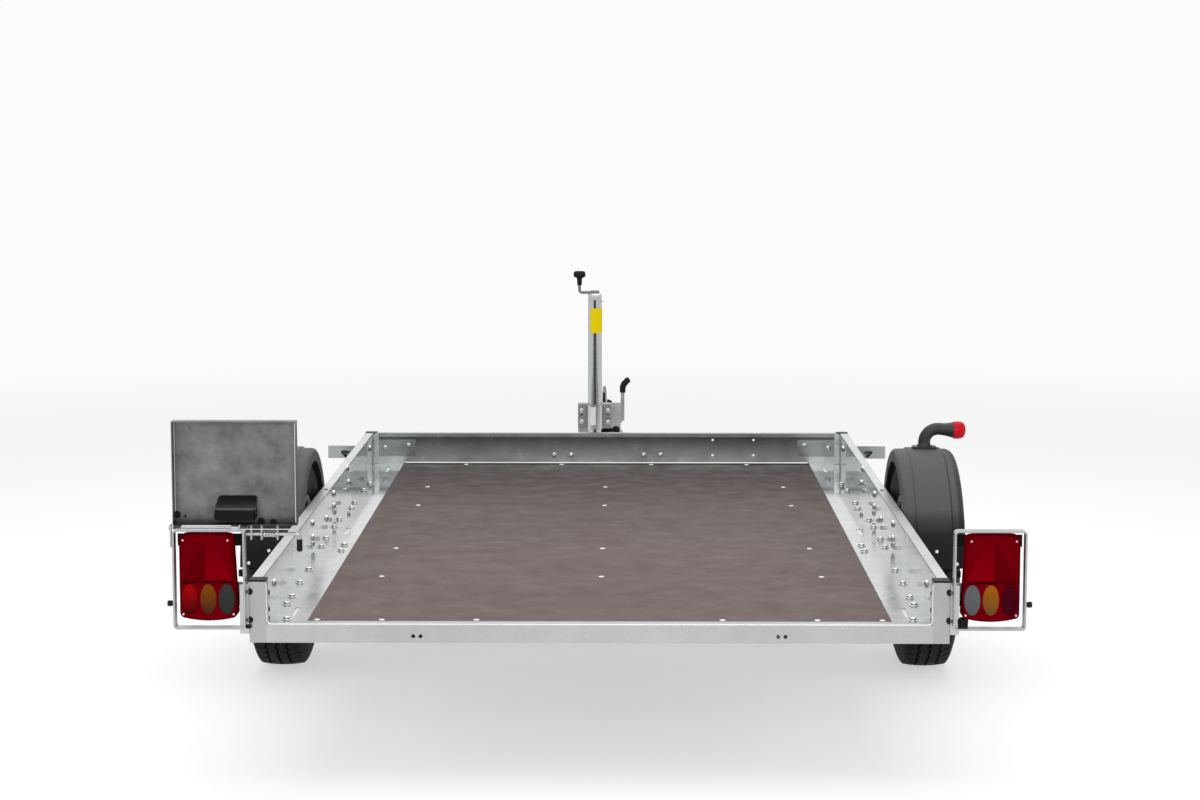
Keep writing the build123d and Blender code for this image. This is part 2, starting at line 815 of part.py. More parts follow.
lamp_bracket_z = (floor_height + bracket_bottom, floor_height + bracket_top)
lamp_bracket_start = post_outer + fit_gap
with BuildPart() as lamp_brackets:
    box(lamp_bracket_start, lamp_bracket_start + bracket_sheet, guard_front_station,
        lamp_back_station + bracket_sheet, *lamp_bracket_z)
    box(lamp_bracket_start, lamp_inner - bracket_sheet, guard_front_station,
        guard_front_station + bracket_sheet, *lamp_bracket_z)
    box(lamp_bracket_start, lamp_outer - lamp_arm_inset, lamp_back_station, lamp_back_station + bracket_sheet,
        lamp_bracket_z[1] - lamp_arm_height, lamp_bracket_z[1])
    mirror(about=Plane.YZ)
save(lamp_brackets.part, "lamp_brackets")

lamp_width = lamp_outer - lamp_inner
lamp_middle_x = (lamp_inner + lamp_outer) / 2


def lamp_outline(inset):
    """The lamp seen from behind, in the open sketch: bulged above and below, with a slanted inner edge."""
    left, right = lamp_inner + inset, lamp_outer - inset
    low, high = lamp_low + lamp_bulge + inset, lamp_high - lamp_bulge - inset
    with BuildLine() as outline:
        Line((left, low), (left + lamp_slant, high))
        ThreePointArc((left + lamp_slant, high), (lamp_middle_x, lamp_high - inset), (right, high))
        Line((right, high), (right, low))
        ThreePointArc((right, low), (lamp_middle_x, lamp_low + inset), (left, low))
    face = make_face(outline.edges())
    fillet(face.vertices(), radius=lamp_corner - inset)


with BuildPart() as lamp_bases:
    with BuildSketch(Plane.XZ.offset(-along(lens_front_station))):
        lamp_outline(lamp_base_inset)
    extrude(amount=-lamp_base_depth)
    box(guard_inner + guard_bar + fit_gap, guard_outer - guard_bar - fit_gap, lens_front_station,
        lens_front_station + lamp_strip_thickness, lamp_high - lamp_strip_height, lamp_high - lamp_bulge)
    mirror(about=Plane.YZ)
save(lamp_bases.part, "lamp_bases")

oval_pitch = (lamp_width - 2 * oval_margin) / 3
oval_half_width = (oval_pitch - oval_gap) / 2
oval_z = lamp_low + oval_height
ovals = (("amber", lamp_middle_x), ("clear", lamp_middle_x - oval_pitch))
with BuildPart() as red_lenses:
    with BuildSketch(Plane.XZ.offset(-along(lamp_rear_station))):
        lamp_outline(0)
    extrude(amount=-lamp_lens_depth)
    chamfer(red_lenses.faces().sort_by(Axis.Y)[0].edges(), length=lamp_chamfer)
    with BuildSketch(Plane.XZ.offset(-along(lamp_rear_station))):
        for colour, oval_x in ovals:
            with Locations((oval_x, oval_z)):
                Ellipse(oval_half_width + oval_clearance, oval_half_height + oval_clearance)
    extrude(amount=-oval_depth, mode=Mode.SUBTRACT)
    mirror(about=Plane.YZ)
save(red_lenses.part, "red_lenses")

for colour, oval_x in ovals:
    with BuildPart() as oval_lenses:
        with BuildSketch(Plane.XZ.offset(-along(lamp_rear_station - oval_rise))):
            with Locations((oval_x, oval_z)):
                Ellipse(oval_half_width, oval_half_height)
        extrude(amount=-(oval_depth + oval_rise - oval_clearance))
        chamfer(oval_lenses.faces().sort_by(Axis.Y)[0].edges(), length=oval_rise)
        mirror(about=Plane.YZ)
    save(oval_lenses.part, f"{colour}_lenses")

# ---- Black bolts: one through the side of each lamp guard, one slanting from each front side bracket ----
with BuildPart() as stop_bolts:
    knob_place = (along(guard_rear_station + guard_depth / 2), guard_low + knob_height)
    rod((guard_outer + fit_gap, *knob_place), (guard_outer + knob_length, *knob_place), knob_radius)
    stop_x = post_outer + stop_bolt_reach
    stop_z = (side_bracket_z[0] + side_bracket_z[1]) / 2
    rod((stop_x, along(bed_length) - stop_bolt_radius, stop_z),
        (stop_x - stop_bolt_lean, along(bed_length) - stop_bolt_length, stop_z - stop_bolt_lean / 2),
        stop_bolt_radius)
    foot = stop_bolt_foot / 2
    box(stop_x - foot, stop_x + foot, bed_length - stop_bolt_radius - foot, bed_length - fit_gap,
        stop_z - foot, stop_z + foot)
    mirror(about=Plane.YZ)
save(stop_bolts.part, "stop_bolts")

# ---- Number plate tray above the left lamp, folding rearward about a pin on the lamp guard ----
tray_hinge_station = guard_rear_station + tray_hinge_lead
hinge_y = along(tray_hinge_station)
hinge_z = guard_high + tray_hinge_rise
strap_x = -guard_outer - fit_gap - tray_strap_sheet
inner_knuckle_x = -guard_inner - knuckle_length / 2
seat_x = inner_knuckle_x - knuckle_gap - knuckle_length
with BuildPart() as plate_tray:
    box(-tray_outer, -tray_inner, plate_lamp_front_station, tray_front_station, tray_low, tray_high)
    for flange_x in (-tray_outer, -tray_inner - tray_sheet):
        box(flange_x, flange_x + tray_sheet, tray_rear_station, tray_front_station, tray_low, tray_high)
    for flange_z in (tray_low, tray_high - tray_sheet):
        box(-tray_outer, -tray_inner, tray_rear_station, tray_front_station, flange_z, flange_z + tray_sheet)
    for knuckle_x in (-tray_outer + tray_strap_sheet, inner_knuckle_x):
        rod((knuckle_x, hinge_y, hinge_z), (knuckle_x + knuckle_length, hinge_y, hinge_z), knuckle_radius)
        box(knuckle_x, knuckle_x + knuckle_length, tray_hinge_station + hinge_pin_radius,
            tray_rear_station + knuckle_radius, hinge_z, tray_low + tray_sheet)
    rod((-tray_outer - 1, hinge_y, hinge_z), (-tray_inner + 1, hinge_y, hinge_z), hinge_pin_radius + fit_gap,
        mode=Mode.SUBTRACT)
save(plate_tray.part, "plate_tray")

with BuildPart() as tray_hinge:
    half_strap = tray_strap_width / 2
    rod((strap_x, hinge_y, hinge_z), (inner_knuckle_x + knuckle_length + fit_gap, hinge_y, hinge_z),
        hinge_pin_radius)
    rod((strap_x - hinge_pin_radius, hinge_y, hinge_z), (strap_x, hinge_y, hinge_z),
        hinge_pin_radius + hinge_pin_head)
    box(strap_x, strap_x + tray_strap_sheet, tray_hinge_station - half_strap, tray_hinge_station + half_strap,
        guard_high - tray_strap_drop, hinge_z + half_strap)
    rod((seat_x, hinge_y, hinge_z), (seat_x + knuckle_length, hinge_y, hinge_z), knuckle_radius)
    box(seat_x, seat_x + knuckle_length, guard_rear_station, tray_hinge_station + half_strap,
        guard_high, hinge_z)
save(tray_hinge.part, "tray_hinge")

lamp_box_width, _, lamp_box_height = plate_lamp_size
plate_lamp_x = -(tray_outer + tray_inner) / 2 + plate_lamp_shift
plate_lamp_low = tray_low + plate_lamp_lift
with BuildPart() as plate_lamp:
    box(plate_lamp_x - lamp_box_width / 2, plate_lamp_x + lamp_box_width / 2, plate_lamp_rear_station,
        plate_lamp_front_station, plate_lamp_low, plate_lamp_low + lamp_box_height)
    chamfer(plate_lamp.faces().sort_by(Axis.Y)[0].edges(), length=lamp_chamfer)
save(plate_lamp.part, "plate_lamp")

# ---- Spring latch of the tray: a rod in three lugs, with its end bent down into a black sleeve ----
latch_station = guard_rear_station + latch_lead
latch_y = along(latch_station)
latch_z = guard_high - latch_drop_below_guard
latch_end_x = -tray_inner + latch_bend_reach
with BuildPart() as latch_rod:
    with BuildLine() as latch_path:
        FilletPolyline(
            (-guard_inner + 2 * fit_gap, latch_y, latch_z),
            (latch_end_x, latch_y, latch_z),
            (latch_end_x, latch_y, latch_z - latch_drop),
            radius=latch_bend_radius)
    with BuildSketch(Plane(origin=latch_path.line @ 0, z_dir=latch_path.line % 0)):
        Circle(latch_rod_radius)
    sweep(path=latch_path.line)
    for lug_inset in latch_lugs:
        lug_x = lug_inset - guard_inner
        box(lug_x, lug_x + latch_lug_sheet, latch_station - latch_lug_width / 2,
            latch_station + latch_lug_width / 2, latch_z - 3 * latch_rod_radius, tray_low)
save(latch_rod.part, "latch_rod")

with BuildPart() as latch_sleeve:
    rod_end_z = latch_z - latch_drop
    sleeve_top = (latch_end_x, latch_y, rod_end_z + latch_sleeve_overlap)
    sleeve_bottom = (latch_end_x, latch_y, rod_end_z - latch_sleeve_tip)
    rod(sleeve_top, sleeve_bottom, latch_rod_radius + latch_sleeve_wall)
    rod(sleeve_top, (latch_end_x, latch_y, rod_end_z), latch_rod_radius, mode=Mode.SUBTRACT)
save(latch_sleeve.part, "latch_sleeve")

# ---- Drawbar head: the raised seat that joins the two tubes and carries the overrun device ----
with BuildPart() as drawbar_head:
    box(-head_base_half_width, head_base_half_width, head_rear_station, head_front_station,
        beam_top, beam_top + head_plate)
    for side in (-1, 1):
        box(side * (head_half_width - head_plate), side * head_half_width, head_rear_station,
            head_front_station, beam_top, housing_bottom)
    box(clamp_x - clamp_half_width, head_half_width, head_rear_station, head_rear_station + head_plate,
        beam_top, clamp_top)
save(drawbar_head.part, "drawbar_head")

tube_bore = overrun_tube_radius + fit_gap
with BuildPart() as overrun_housing:
    box(-head_half_width, head_half_width, head_rear_station + head_plate + fit_gap, housing_front_station,
        housing_bottom, housing_top)
    fillet(overrun_housing.edges().filter_by(Axis.Y).group_by(Axis.Z)[-1], radius=housing_corner)
    rod((0, along(overrun_tube_rear_station) - overrun_tube_wall, overrun_axis),
        (0, along(housing_front_station) + 1, overrun_axis), tube_bore, mode=Mode.SUBTRACT)
save(overrun_housing.part, "overrun_housing")

tube_front_y = along(clamp_front_station - coupling_tube_stop)
with BuildPart() as overrun_tube:
    tube_rear = (0, along(overrun_tube_rear_station), overrun_axis)
    tube_front = (0, tube_front_y, overrun_axis)
    rod(tube_rear, tube_front, overrun_tube_radius)
    rod(tube_rear, tube_front, overrun_tube_radius - overrun_tube_wall, mode=Mode.SUBTRACT)
save(overrun_tube.part, "overrun_tube")

fold_pitch = gaiter_length / gaiter_folds
gaiter_rear = along(housing_front_station) + fit_gap
fold_points = [(gaiter_rear, tube_bore), (gaiter_rear, gaiter_neck_radius)]
for fold in range(gaiter_folds):
    fold_start = gaiter_rear + fold * fold_pitch
    fold_points.append((fold_start + fold_pitch / 2, gaiter_radius))
    fold_points.append((fold_start + fold_pitch, gaiter_neck_radius))
fold_points.append((gaiter_rear + gaiter_length, tube_bore))
with BuildPart() as gaiter:
    with BuildSketch(Plane(origin=(0, 0, overrun_axis), x_dir=(0, 1, 0), z_dir=(1, 0, 0))):
        with BuildLine():
            Polyline(*fold_points, close=True)
        make_face()
    revolve(axis=Axis((0, 0, overrun_axis), (0, 1, 0)))
save(gaiter.part, "gaiter")

socket_y = along(socket_station)
with BuildPart() as coupling_head:
    rod((0, along(coupling_clamp_station), overrun_axis), (0, along(clamp_front_station), overrun_axis),
        coupling_clamp_radius)
    box(-coupling_clamp_radius, coupling_clamp_radius, clamp_front_station - handle_setback, socket_station,
        socket_height, socket_height + socket_crown)
    with BuildSketch(Plane.XY.offset(socket_height - socket_skirt)):
        with Locations((0, socket_y)):
            Circle(socket_wall_radius)
    extrude(amount=socket_skirt + socket_crown)
    with Locations((0, socket_y, socket_height)):
        Sphere(socket_radius, mode=Mode.SUBTRACT)
    with BuildSketch(Plane.XY.offset(socket_height - socket_skirt - 1)):
        with Locations((0, socket_y)):
            Circle(socket_radius)
    extrude(amount=socket_skirt + 1, mode=Mode.SUBTRACT)
    rod((0, along(coupling_clamp_station) - 1, overrun_axis), (0, tube_front_y + fit_gap, overrun_axis),
        tube_bore, mode=Mode.SUBTRACT)
save(coupling_head.part, "coupling_head")

handle_front = along(socket_station - handle_setback)
handle_rear = handle_front - handle_length
handle_low = socket_height + socket_crown + fit_gap
front_rise, bend_rise, rear_rise = handle_rises
with BuildPart() as coupling_handle:
    with BuildSketch(Plane.YZ.offset(handle_shift - handle_width / 2)):
        with BuildLine():
            Polyline(
                (handle_front, handle_low), (handle_front, handle_low + front_rise),
                (handle_rear + handle_bend, handle_low + bend_rise), (handle_rear, handle_low + rear_rise),
                (handle_rear, handle_low + rear_rise - handle_sheet),
                (handle_rear + handle_bend, handle_low + bend_rise - handle_sheet),
                (handle_front - 2 * handle_setback, handle_low), close=True)
        make_face()
    extrude(amount=handle_width)
save(coupling_handle.part, "coupling_handle")

# ---- Handbrake lever on the right of the drawbar head, pulled up ----
brake_y = along(brake_pivot_station)
lever_start = head_half_width + fit_gap
lever_top = clamp_top + brake_lever_reach
with BuildPart() as brake_lever:
    box(lever_start, lever_start + brake_lever_width, brake_pivot_station - brake_lever_depth / 2,
        brake_pivot_station + brake_lever_depth / 2,
        housing_bottom + brake_pivot_rise - brake_lever_heel, lever_top)
save(brake_lever.part, "brake_lever")

grip_x = lever_start + brake_lever_width / 2
with BuildPart() as brake_grip:
    with BuildLine() as grip_path:
        FilletPolyline(
            (grip_x, brake_y, lever_top + fit_gap),
            (grip_x, brake_y, lever_top + brake_grip_height),
            (grip_x + brake_grip_reach, brake_y, lever_top + brake_grip_height),
            radius=brake_grip_bend)
    with BuildSketch(Plane(origin=grip_path.line @ 0, z_dir=grip_path.line % 0)):
        Circle(brake_grip_radius)
    sweep(path=grip_path.line)
save(brake_grip.part, "brake_grip")

# ---- Jack: clamp, outer tube with its groove, crank, sliding leg, fork and wheel ----
jack_y = along(jack_station)
clamp_bore = jack_tube_radius + fit_gap
with BuildPart() as jack_clamp:
    box(clamp_x - clamp_half_width, clamp_x + clamp_half_width, jack_station + clamp_split, head_rear_station,
        clamp_bottom, clamp_top)
    box(clamp_x - clamp_half_width, clamp_x + clamp_half_width, jack_station - clamp_sheet - clamp_split,
        jack_station - clamp_split, clamp_bottom, clamp_top)
    rod((jack_x, jack_y, clamp_bottom), (jack_x, jack_y, clamp_top), clamp_bore + clamp_sheet)
    rod((jack_x, jack_y, clamp_bottom - 1), (jack_x, jack_y, clamp_top + 1), clamp_bore,
        mode=Mode.SUBTRACT)
    for hole_offset, hole_rise, hole_radius in clamp_holes:
        hole_x = jack_x + hole_offset
        hole_z = clamp_bottom + hole_rise
        rod((hole_x, jack_y - clamp_bore, hole_z), (hole_x, along(head_rear_station) + 1, hole_z), hole_radius,
            mode=Mode.SUBTRACT)
save(jack_clamp.part, "jack_clamp")

lid_z = jack_tube_top - jack_tube_lid
with BuildPart() as jack_tube:
    rod((jack_x, jack_y, jack_tube_bottom), (jack_x, jack_y, jack_tube_top), jack_tube_radius)
    rod((jack_x, jack_y, jack_tube_bottom - 1), (jack_x, jack_y, lid_z), jack_leg_radius + fit_gap,
        mode=Mode.SUBTRACT)
    rod((jack_x, jack_y, jack_tube_bottom + jack_guide_length), (jack_x, jack_y, lid_z),
        jack_tube_radius - jack_tube_wall, mode=Mode.SUBTRACT)
    groove_station = jack_station - jack_tube_radius
    box(jack_x - jack_groove_width / 2, jack_x + jack_groove_width / 2, groove_station - 1,
        groove_station + jack_groove_depth, jack_tube_bottom - 1, jack_tube_top - jack_groove_top,
        mode=Mode.SUBTRACT)
save(jack_tube.part, "jack_tube")

crank_boss_top = jack_tube_top + crank_boss_height
crank_axis_z = crank_boss_top - crank_rod_radius - 1
crank_x = jack_x - crank_throw
with BuildPart() as jack_crank:
    rod((jack_x, jack_y, jack_tube_top + fit_gap), (jack_x, jack_y, crank_boss_top), crank_boss_radius)
    with BuildLine() as crank_path:
        FilletPolyline(
            (jack_x, jack_y, crank_axis_z),
            (crank_x, jack_y, crank_axis_z),
            (crank_x, jack_y, crank_boss_top + crank_stem_height),
            radius=crank_bend_radius)
    with BuildSketch(Plane(origin=crank_path.line @ 0, z_dir=crank_path.line % 0)):
        Circle(crank_rod_radius)
    sweep(path=crank_path.line)
save(jack_crank.part, "jack_crank")

with BuildPart() as crank_knob:
    knob_base = crank_boss_top + crank_stem_height + fit_gap
    rod((crank_x, jack_y, knob_base), (crank_x, jack_y, knob_base + knob_stem_height), knob_stem_radius)
    with Locations((crank_x, jack_y, knob_base + knob_stem_height + knob_cap_height / 2)):
        Box(knob_width, knob_depth, knob_cap_height)
    fillet(crank_knob.edges().filter_by(Axis.Y), radius=knob_fillet)
save(crank_knob.part, "crank_knob")

with BuildPart() as jack_leg:
    leg_top = fork_top + jack_leg_length
    rod((jack_x, jack_y, fork_top), (jack_x, jack_y, leg_top), jack_leg_radius)
    rod((jack_x, jack_y, fork_top + 2 * jack_leg_wall), (jack_x, jack_y, leg_top + 1),
        jack_leg_radius - jack_leg_wall, mode=Mode.SUBTRACT)
save(jack_leg.part, "jack_leg")

jockey_y = jack_y - fork_trail
with BuildPart() as jack_fork:
    plate_top = fork_top - fit_gap
    plate_base = plate_top - fork_plate
    rod((jack_x, jack_y, plate_base), (jack_x, jack_y, plate_top), fork_plate_radius)
    for side in (-1, 1):
        with BuildSketch(Plane.YZ.offset(jack_x + side * fork_half_width)):
            with BuildLine():
                cheek = 2 * jockey_pin_radius
                Polyline(
                    (jack_y + fork_plate_radius - fork_plate, plate_top),
                    (jack_y - fork_plate_radius + fork_plate, plate_top),
                    (jockey_y - cheek, jockey_radius),
                    (jockey_y - jockey_pin_radius, jockey_radius - cheek),
                    (jockey_y + jockey_pin_radius, jockey_radius - cheek),
                    (jack_y + cheek, (plate_base + jockey_radius) / 2), close=True)
            make_face()
        extrude(amount=-side * fork_side)
    rod((jack_x - fork_half_width, jockey_y, jockey_radius),
        (jack_x + fork_half_width, jockey_y, jockey_radius), jockey_pin_radius)
save(jack_fork.part, "jack_fork")

jockey_bore = jockey_pin_radius + fit_gap
rim_step, tyre_step, dish_step = jockey_width / 24, jockey_width / 4, jockey_width / 5
dish_inner, dish_outer = jockey_hub_radius + 2 * rim_step, jockey_radius - 3 * tyre_step
half_section = (
    (0, jockey_bore),
    (0, jockey_hub_radius),
    (dish_step, dish_inner),
    (dish_step, dish_outer),
    (rim_step, dish_outer + tyre_step / 2),
    (rim_step, jockey_radius - tyre_step + rim_step),
    (tyre_step, jockey_radius),
)
with BuildPart() as jockey_wheel:
    wheel_start = jack_x - jockey_width / 2
    section = [(wheel_start + x, radius) for x, radius in half_section]
    section += [(wheel_start + jockey_width - x, radius) for x, radius in reversed(half_section)]
    with BuildSketch(Plane(origin=(0, jockey_y, jockey_radius), x_dir=(1, 0, 0), z_dir=(0, -1, 0))):
        with BuildLine():
            Polyline(*section, close=True)
        make_face()
    revolve(axis=Axis((0, jockey_y, jockey_radius), (1, 0, 0)))
save(jockey_wheel.part, "jockey_wheel")
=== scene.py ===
# %% [markdown]
# # A flatbed trailer, dressed in Blender
# A small road trailer is a folded steel tray on one axle. It was drawn in CAD as fifty separate
# nodes, and this file gives them their looks: zinc on steel, film-faced plywood, moulded plastic,
# rubber and lamp lenses. Nothing here moves a CAD part. Each new piece is built around one, in
# metres, in the same frame: +Y is the way the trailer is towed and +X its right side.

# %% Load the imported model
import math
import bmesh
import bpy
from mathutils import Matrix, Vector
from mathutils.bvhtree import BVHTree


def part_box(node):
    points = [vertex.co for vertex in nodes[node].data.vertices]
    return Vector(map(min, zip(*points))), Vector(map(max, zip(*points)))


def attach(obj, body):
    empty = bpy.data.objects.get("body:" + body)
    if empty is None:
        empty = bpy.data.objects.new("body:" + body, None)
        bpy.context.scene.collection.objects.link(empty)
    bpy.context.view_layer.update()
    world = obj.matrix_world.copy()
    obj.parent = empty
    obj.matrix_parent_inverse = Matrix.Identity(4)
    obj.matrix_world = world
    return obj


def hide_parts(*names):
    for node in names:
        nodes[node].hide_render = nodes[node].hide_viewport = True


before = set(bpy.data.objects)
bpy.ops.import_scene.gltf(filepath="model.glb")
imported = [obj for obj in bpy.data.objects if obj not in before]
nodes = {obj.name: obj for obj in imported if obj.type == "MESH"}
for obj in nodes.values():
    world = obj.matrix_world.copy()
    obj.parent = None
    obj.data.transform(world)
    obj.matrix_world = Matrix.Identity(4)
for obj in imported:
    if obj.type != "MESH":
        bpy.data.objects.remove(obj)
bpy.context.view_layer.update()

# %% [markdown]
# ## Where things are
# Every piece takes its place from the CAD nodes, so that a changed size carries over. A node's box
# gives its lowest and highest corner. Distances along the bed are counted from the rear edge of
# the plywood, as a trailer maker's drawing does.

# %% Places read from the frame
wall_low, wall_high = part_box("side_walls")
post_low, post_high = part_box("corner_posts")
tyre_low, tyre_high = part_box("tyre_right")
deck_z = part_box("floor_panel")[1].z
bed_rear_y, bed_front_y = wall_low.y, wall_high.y
axle = (tyre_low + tyre_high) / 2
tyre_radius = (tyre_high.z - tyre_low.z) / 2
both_sides = (-1, 1)
forward, up, down = (0, 1, 0), (0, 0, 1), (0, 0, -1)
right_x, up_z = Vector((1, 0, 0)), Vector((0, 0, 1))


def along(station):
    """Y of a distance measured forward from the rear edge of the floor."""
    return bed_rear_y + station


def middle_of(low, high):
    """The middle of a box, as three numbers."""
    return 0.5 * (low.x + high.x), 0.5 * (low.y + high.y), 0.5 * (low.z + high.z)


def turns_of(count):
    """Angles that divide a circle."""
    return [2 * math.pi * k / count for k in range(count)]


print("deck at", round(deck_z, 4), "axle at", [round(v, 4) for v in axle])

# %% [markdown]
# ## Camera
# A long lens a good way behind the bed, at eye height, keeps the side walls' lines calm. A lens of
# about 75 mm on a 36 mm sensor is a portrait lens, and a small turn to the left brings the drawbar
# to the middle of the view.

# %% Camera
camera_place = Vector((0.0499, along(-5.5161), deck_z + 1.1365))
camera_pitch = math.radians(6.615)
camera_yaw = math.radians(0.5045)
camera = bpy.data.objects.new("camera", bpy.data.cameras.new("camera"))
bpy.context.collection.objects.link(camera)
camera.location = camera_place
camera.rotation_euler = (math.pi / 2 - camera_pitch, 0, camera_yaw)
camera.data.lens = 75.52
camera.data.sensor_width = 36
camera.data.clip_end = 100
bpy.context.scene.camera = camera

# %% [markdown]
# ## Node helpers
# A procedural finish is a small network: a pattern such as noise or cells, a ramp that turns it into
# colours or roughness, and a bump that catches the light. These helpers keep each finish below to
# the few lines that say what is special about it. A value that is the same all over is written on
# the shader's own socket.

# %% Small helpers for materials
def wire(tree, kind, *given, **named):
    """A new node; its inputs are given in order or by name, as values or as other nodes' outputs."""
    node = tree.nodes.new(kind)
    by_name = [(node.inputs[key.replace("_", " ")], value) for key, value in named.items()]
    for socket, value in [*zip(node.inputs, given), *by_name]:
        if isinstance(value, bpy.types.NodeSocket):
            tree.links.new(value, socket)
        elif socket.type == "RGBA":
            socket.default_value = (*value, 1)
        else:
            socket.default_value = value
    return node


def calculated(tree, operation, *values):
    """The result of a Math node."""
    node = wire(tree, "ShaderNodeMath", *values)
    node.operation = operation
    return node.outputs["Value"]


class Finish:
    """A material with a Principled shader, to which patterns are added one at a time."""

    def __init__(self, name, colour, roughness, **sockets):
        self.material = bpy.data.materials.new(name)
        self.material.use_nodes = True
        self.tree = self.material.node_tree
        self.shader = self.tree.nodes["Principled BSDF"]
        self.shader.inputs["Base Color"].default_value = (*colour, 1)
        self.shader.inputs["Roughness"].default_value = roughness
        for socket, value in sockets.items():
            self.shader.inputs[socket.replace("_", " ")].default_value = value
        self.place = self.tree.nodes.new("ShaderNodeTexCoord").outputs["Object"]
        self.height = None

    def stretched(self, scale):
        """Object coordinates stretched, for a pattern with a direction."""
        return wire(self.tree, "ShaderNodeMapping", Vector=self.place, Scale=scale).outputs["Vector"]

    def noise(self, scale, detail=3, roughness=0.5, place=None):
        return wire(self.tree, "ShaderNodeTexNoise", Vector=place or self.place, Scale=scale, Detail=detail,
                    Roughness=roughness).outputs["Fac"]

    def cells(self, scale, output="Distance"):
        return wire(self.tree, "ShaderNodeTexVoronoi", Vector=self.place, Scale=scale).outputs[output]

    def ramp(self, source, *stops):
        """A colour ramp; each stop is a position and a grey or a colour."""
        node = wire(self.tree, "ShaderNodeValToRGB", source)
        while len(node.color_ramp.elements) < len(stops):
            node.color_ramp.elements.new(0.5)
        for element, (position, value) in zip(node.color_ramp.elements, stops):
            element.position = position
            element.color = (*value, 1) if isinstance(value, tuple) else (value, value, value, 1)
        return node.outputs["Color"]

    def mix(self, kind, share, first, second):
        """Two colours mixed; the share is a pattern or a number."""
        node = self.tree.nodes.new("ShaderNodeMix")
        node.data_type, node.blend_type = "RGBA", kind
        # The node has sockets for every data type, and these numbers are the ones for colours.
        share_in, first_in, second_in, colour_out = 0, 6, 7, 2
        for place, value in ((share_in, share), (first_in, first), (second_in, second)):
            if isinstance(value, bpy.types.NodeSocket):
                self.tree.links.new(value, node.inputs[place])
            else:
                node.inputs[place].default_value = value if place == share_in else (*value, 1)
        return node.outputs[colour_out]

    def along(self, axis, start, end):
        """How far each place lies between two coordinates on one axis, from 0 to 1."""
        place = wire(self.tree, "ShaderNodeSeparateXYZ", self.place).outputs[axis]
        return wire(self.tree, "ShaderNodeMapRange", place, From_Min=start, From_Max=end).outputs[0]

    def shaded(self, colour, axis, start, end, *stops):
        """A colour made darker along one axis by the greys of a ramp."""
        return self.mix("MULTIPLY", 1.0, colour, self.ramp(self.along(axis, start, end), *stops))

    def facing(self, axis):
        """How far a face looks along one axis, from -1 to 1."""
        normal = wire(self.tree, "ShaderNodeNewGeometry").outputs["Normal"]
        return wire(self.tree, "ShaderNodeSeparateXYZ", normal).outputs[axis]

    def set(self, socket, source):
        self.tree.links.new(source, self.shader.inputs[socket])

    def bump(self, height, strength, distance):
        node = wire(self.tree, "ShaderNodeBump", Height=height, Strength=strength, Distance=distance)
        if self.height:
            self.tree.links.new(self.height, node.inputs["Normal"])
        self.height = node.outputs["Normal"]
        self.set("Normal", self.height)


def wear(finish, *node_names):
    """Gives CAD nodes their finish."""
    for node_name in node_names:
        mesh = nodes[node_name].data
        mesh.materials.clear()
        mesh.materials.append(finish.material)


# %% [markdown]
# ## Hot-dip zinc
# The tray, the axle and the drawbar are dipped in molten zinc. It freezes in crystals a centimetre
# or two across, each a slightly different grey, with a cloudy sheen over them. Cells give the
# crystals, a slow noise gives the clouds, and a quicker noise moves the roughness a little.

# %% Galvanised steel
def galvanised(name, dark, bright, spangle=60, roughness=(0.24, 0.36), metal=0.9, grain=0.03,
               shade=None, mottle=0.0):
    """Zinc between two greys; shade darkens it along an axis, and mottle is how dark its patches are."""
    zinc = Finish(name, bright, 0.4, Metallic=metal)
    crystal = zinc.ramp(zinc.cells(spangle, "Color"), (0.0, 0.35), (1.0, 0.65))
    cloud = zinc.noise(5, detail=6, roughness=0.62)
    blotch = zinc.mix("MIX", 0.70, crystal, zinc.ramp(cloud, (0.3, 0.1), (0.7, 0.9)))
    colour = zinc.mix("MIX", blotch, dark, bright)
    if mottle:
        patches = zinc.ramp(zinc.noise(17, detail=8, roughness=0.72), (0.36, 1 - mottle), (0.62, 1.0))
        colour = zinc.mix("MULTIPLY", 1.0, colour, patches)
    colour = zinc.shaded(colour, *shade) if shade else colour
    zinc.set("Base Color", colour)
    low, high = roughness
    zinc.set("Roughness", zinc.ramp(zinc.noise(24, detail=4), (0.3, low), (0.7, high)))
    if grain:
        zinc.bump(zinc.noise(160, detail=2), grain, 0.0008)
    return zinc


zinc_sill = galvanised("zinc_sill", (0.42, 0.43, 0.435), (0.58, 0.59, 0.59))
# The posts get a darker copy of the sill's zinc, as painted shade.
zinc_post = galvanised("zinc_post", (0.36, 0.37, 0.375), (0.50, 0.51, 0.51))
zinc_guard = galvanised("zinc_guard", (0.37, 0.38, 0.385), (0.52, 0.53, 0.53))
zinc_frame = galvanised("zinc_frame", (0.46, 0.47, 0.475), (0.64, 0.65, 0.65), 48)
# The front corner brackets get a darker zinc, as painted shade at the front of the bed.
zinc_plate = galvanised("zinc_plate", (0.32, 0.345, 0.35), (0.44, 0.465, 0.47), 60, (0.14, 0.22), 0.95)
clamp_zinc = galvanised("clamp_zinc", (0.22, 0.22, 0.22), (0.36, 0.36, 0.355), 90, (0.30, 0.42), 0.8)
tube_zinc = galvanised("tube_zinc", (0.48, 0.50, 0.505), (0.56, 0.58, 0.585), 140, (0.18, 0.26), 0.97)
bright_zinc = galvanised("bright_zinc", (0.60, 0.62, 0.63), (0.76, 0.78, 0.79), 140, (0.14, 0.22), 0.96)
plated = galvanised("zinc_plated", (0.82, 0.83, 0.83), (0.92, 0.93, 0.93), 200, (0.2, 0.3), 0.35)
wear(zinc_sill, "rear_sill")
wear(zinc_post, "corner_posts")
wear(zinc_plate, "corner_brackets")
wear(zinc_guard, "lamp_guards", "tray_hinge", "latch_rod")
wear(zinc_frame, "cross_members", "drawbar_beams", "drawbar_brackets", "drawbar_head", "axle_beam",
     "axle_brackets", "swing_arms", "mudguard_brackets", "lamp_brackets")
wear(clamp_zinc, "jack_clamp")
wear(tube_zinc, "jack_tube")
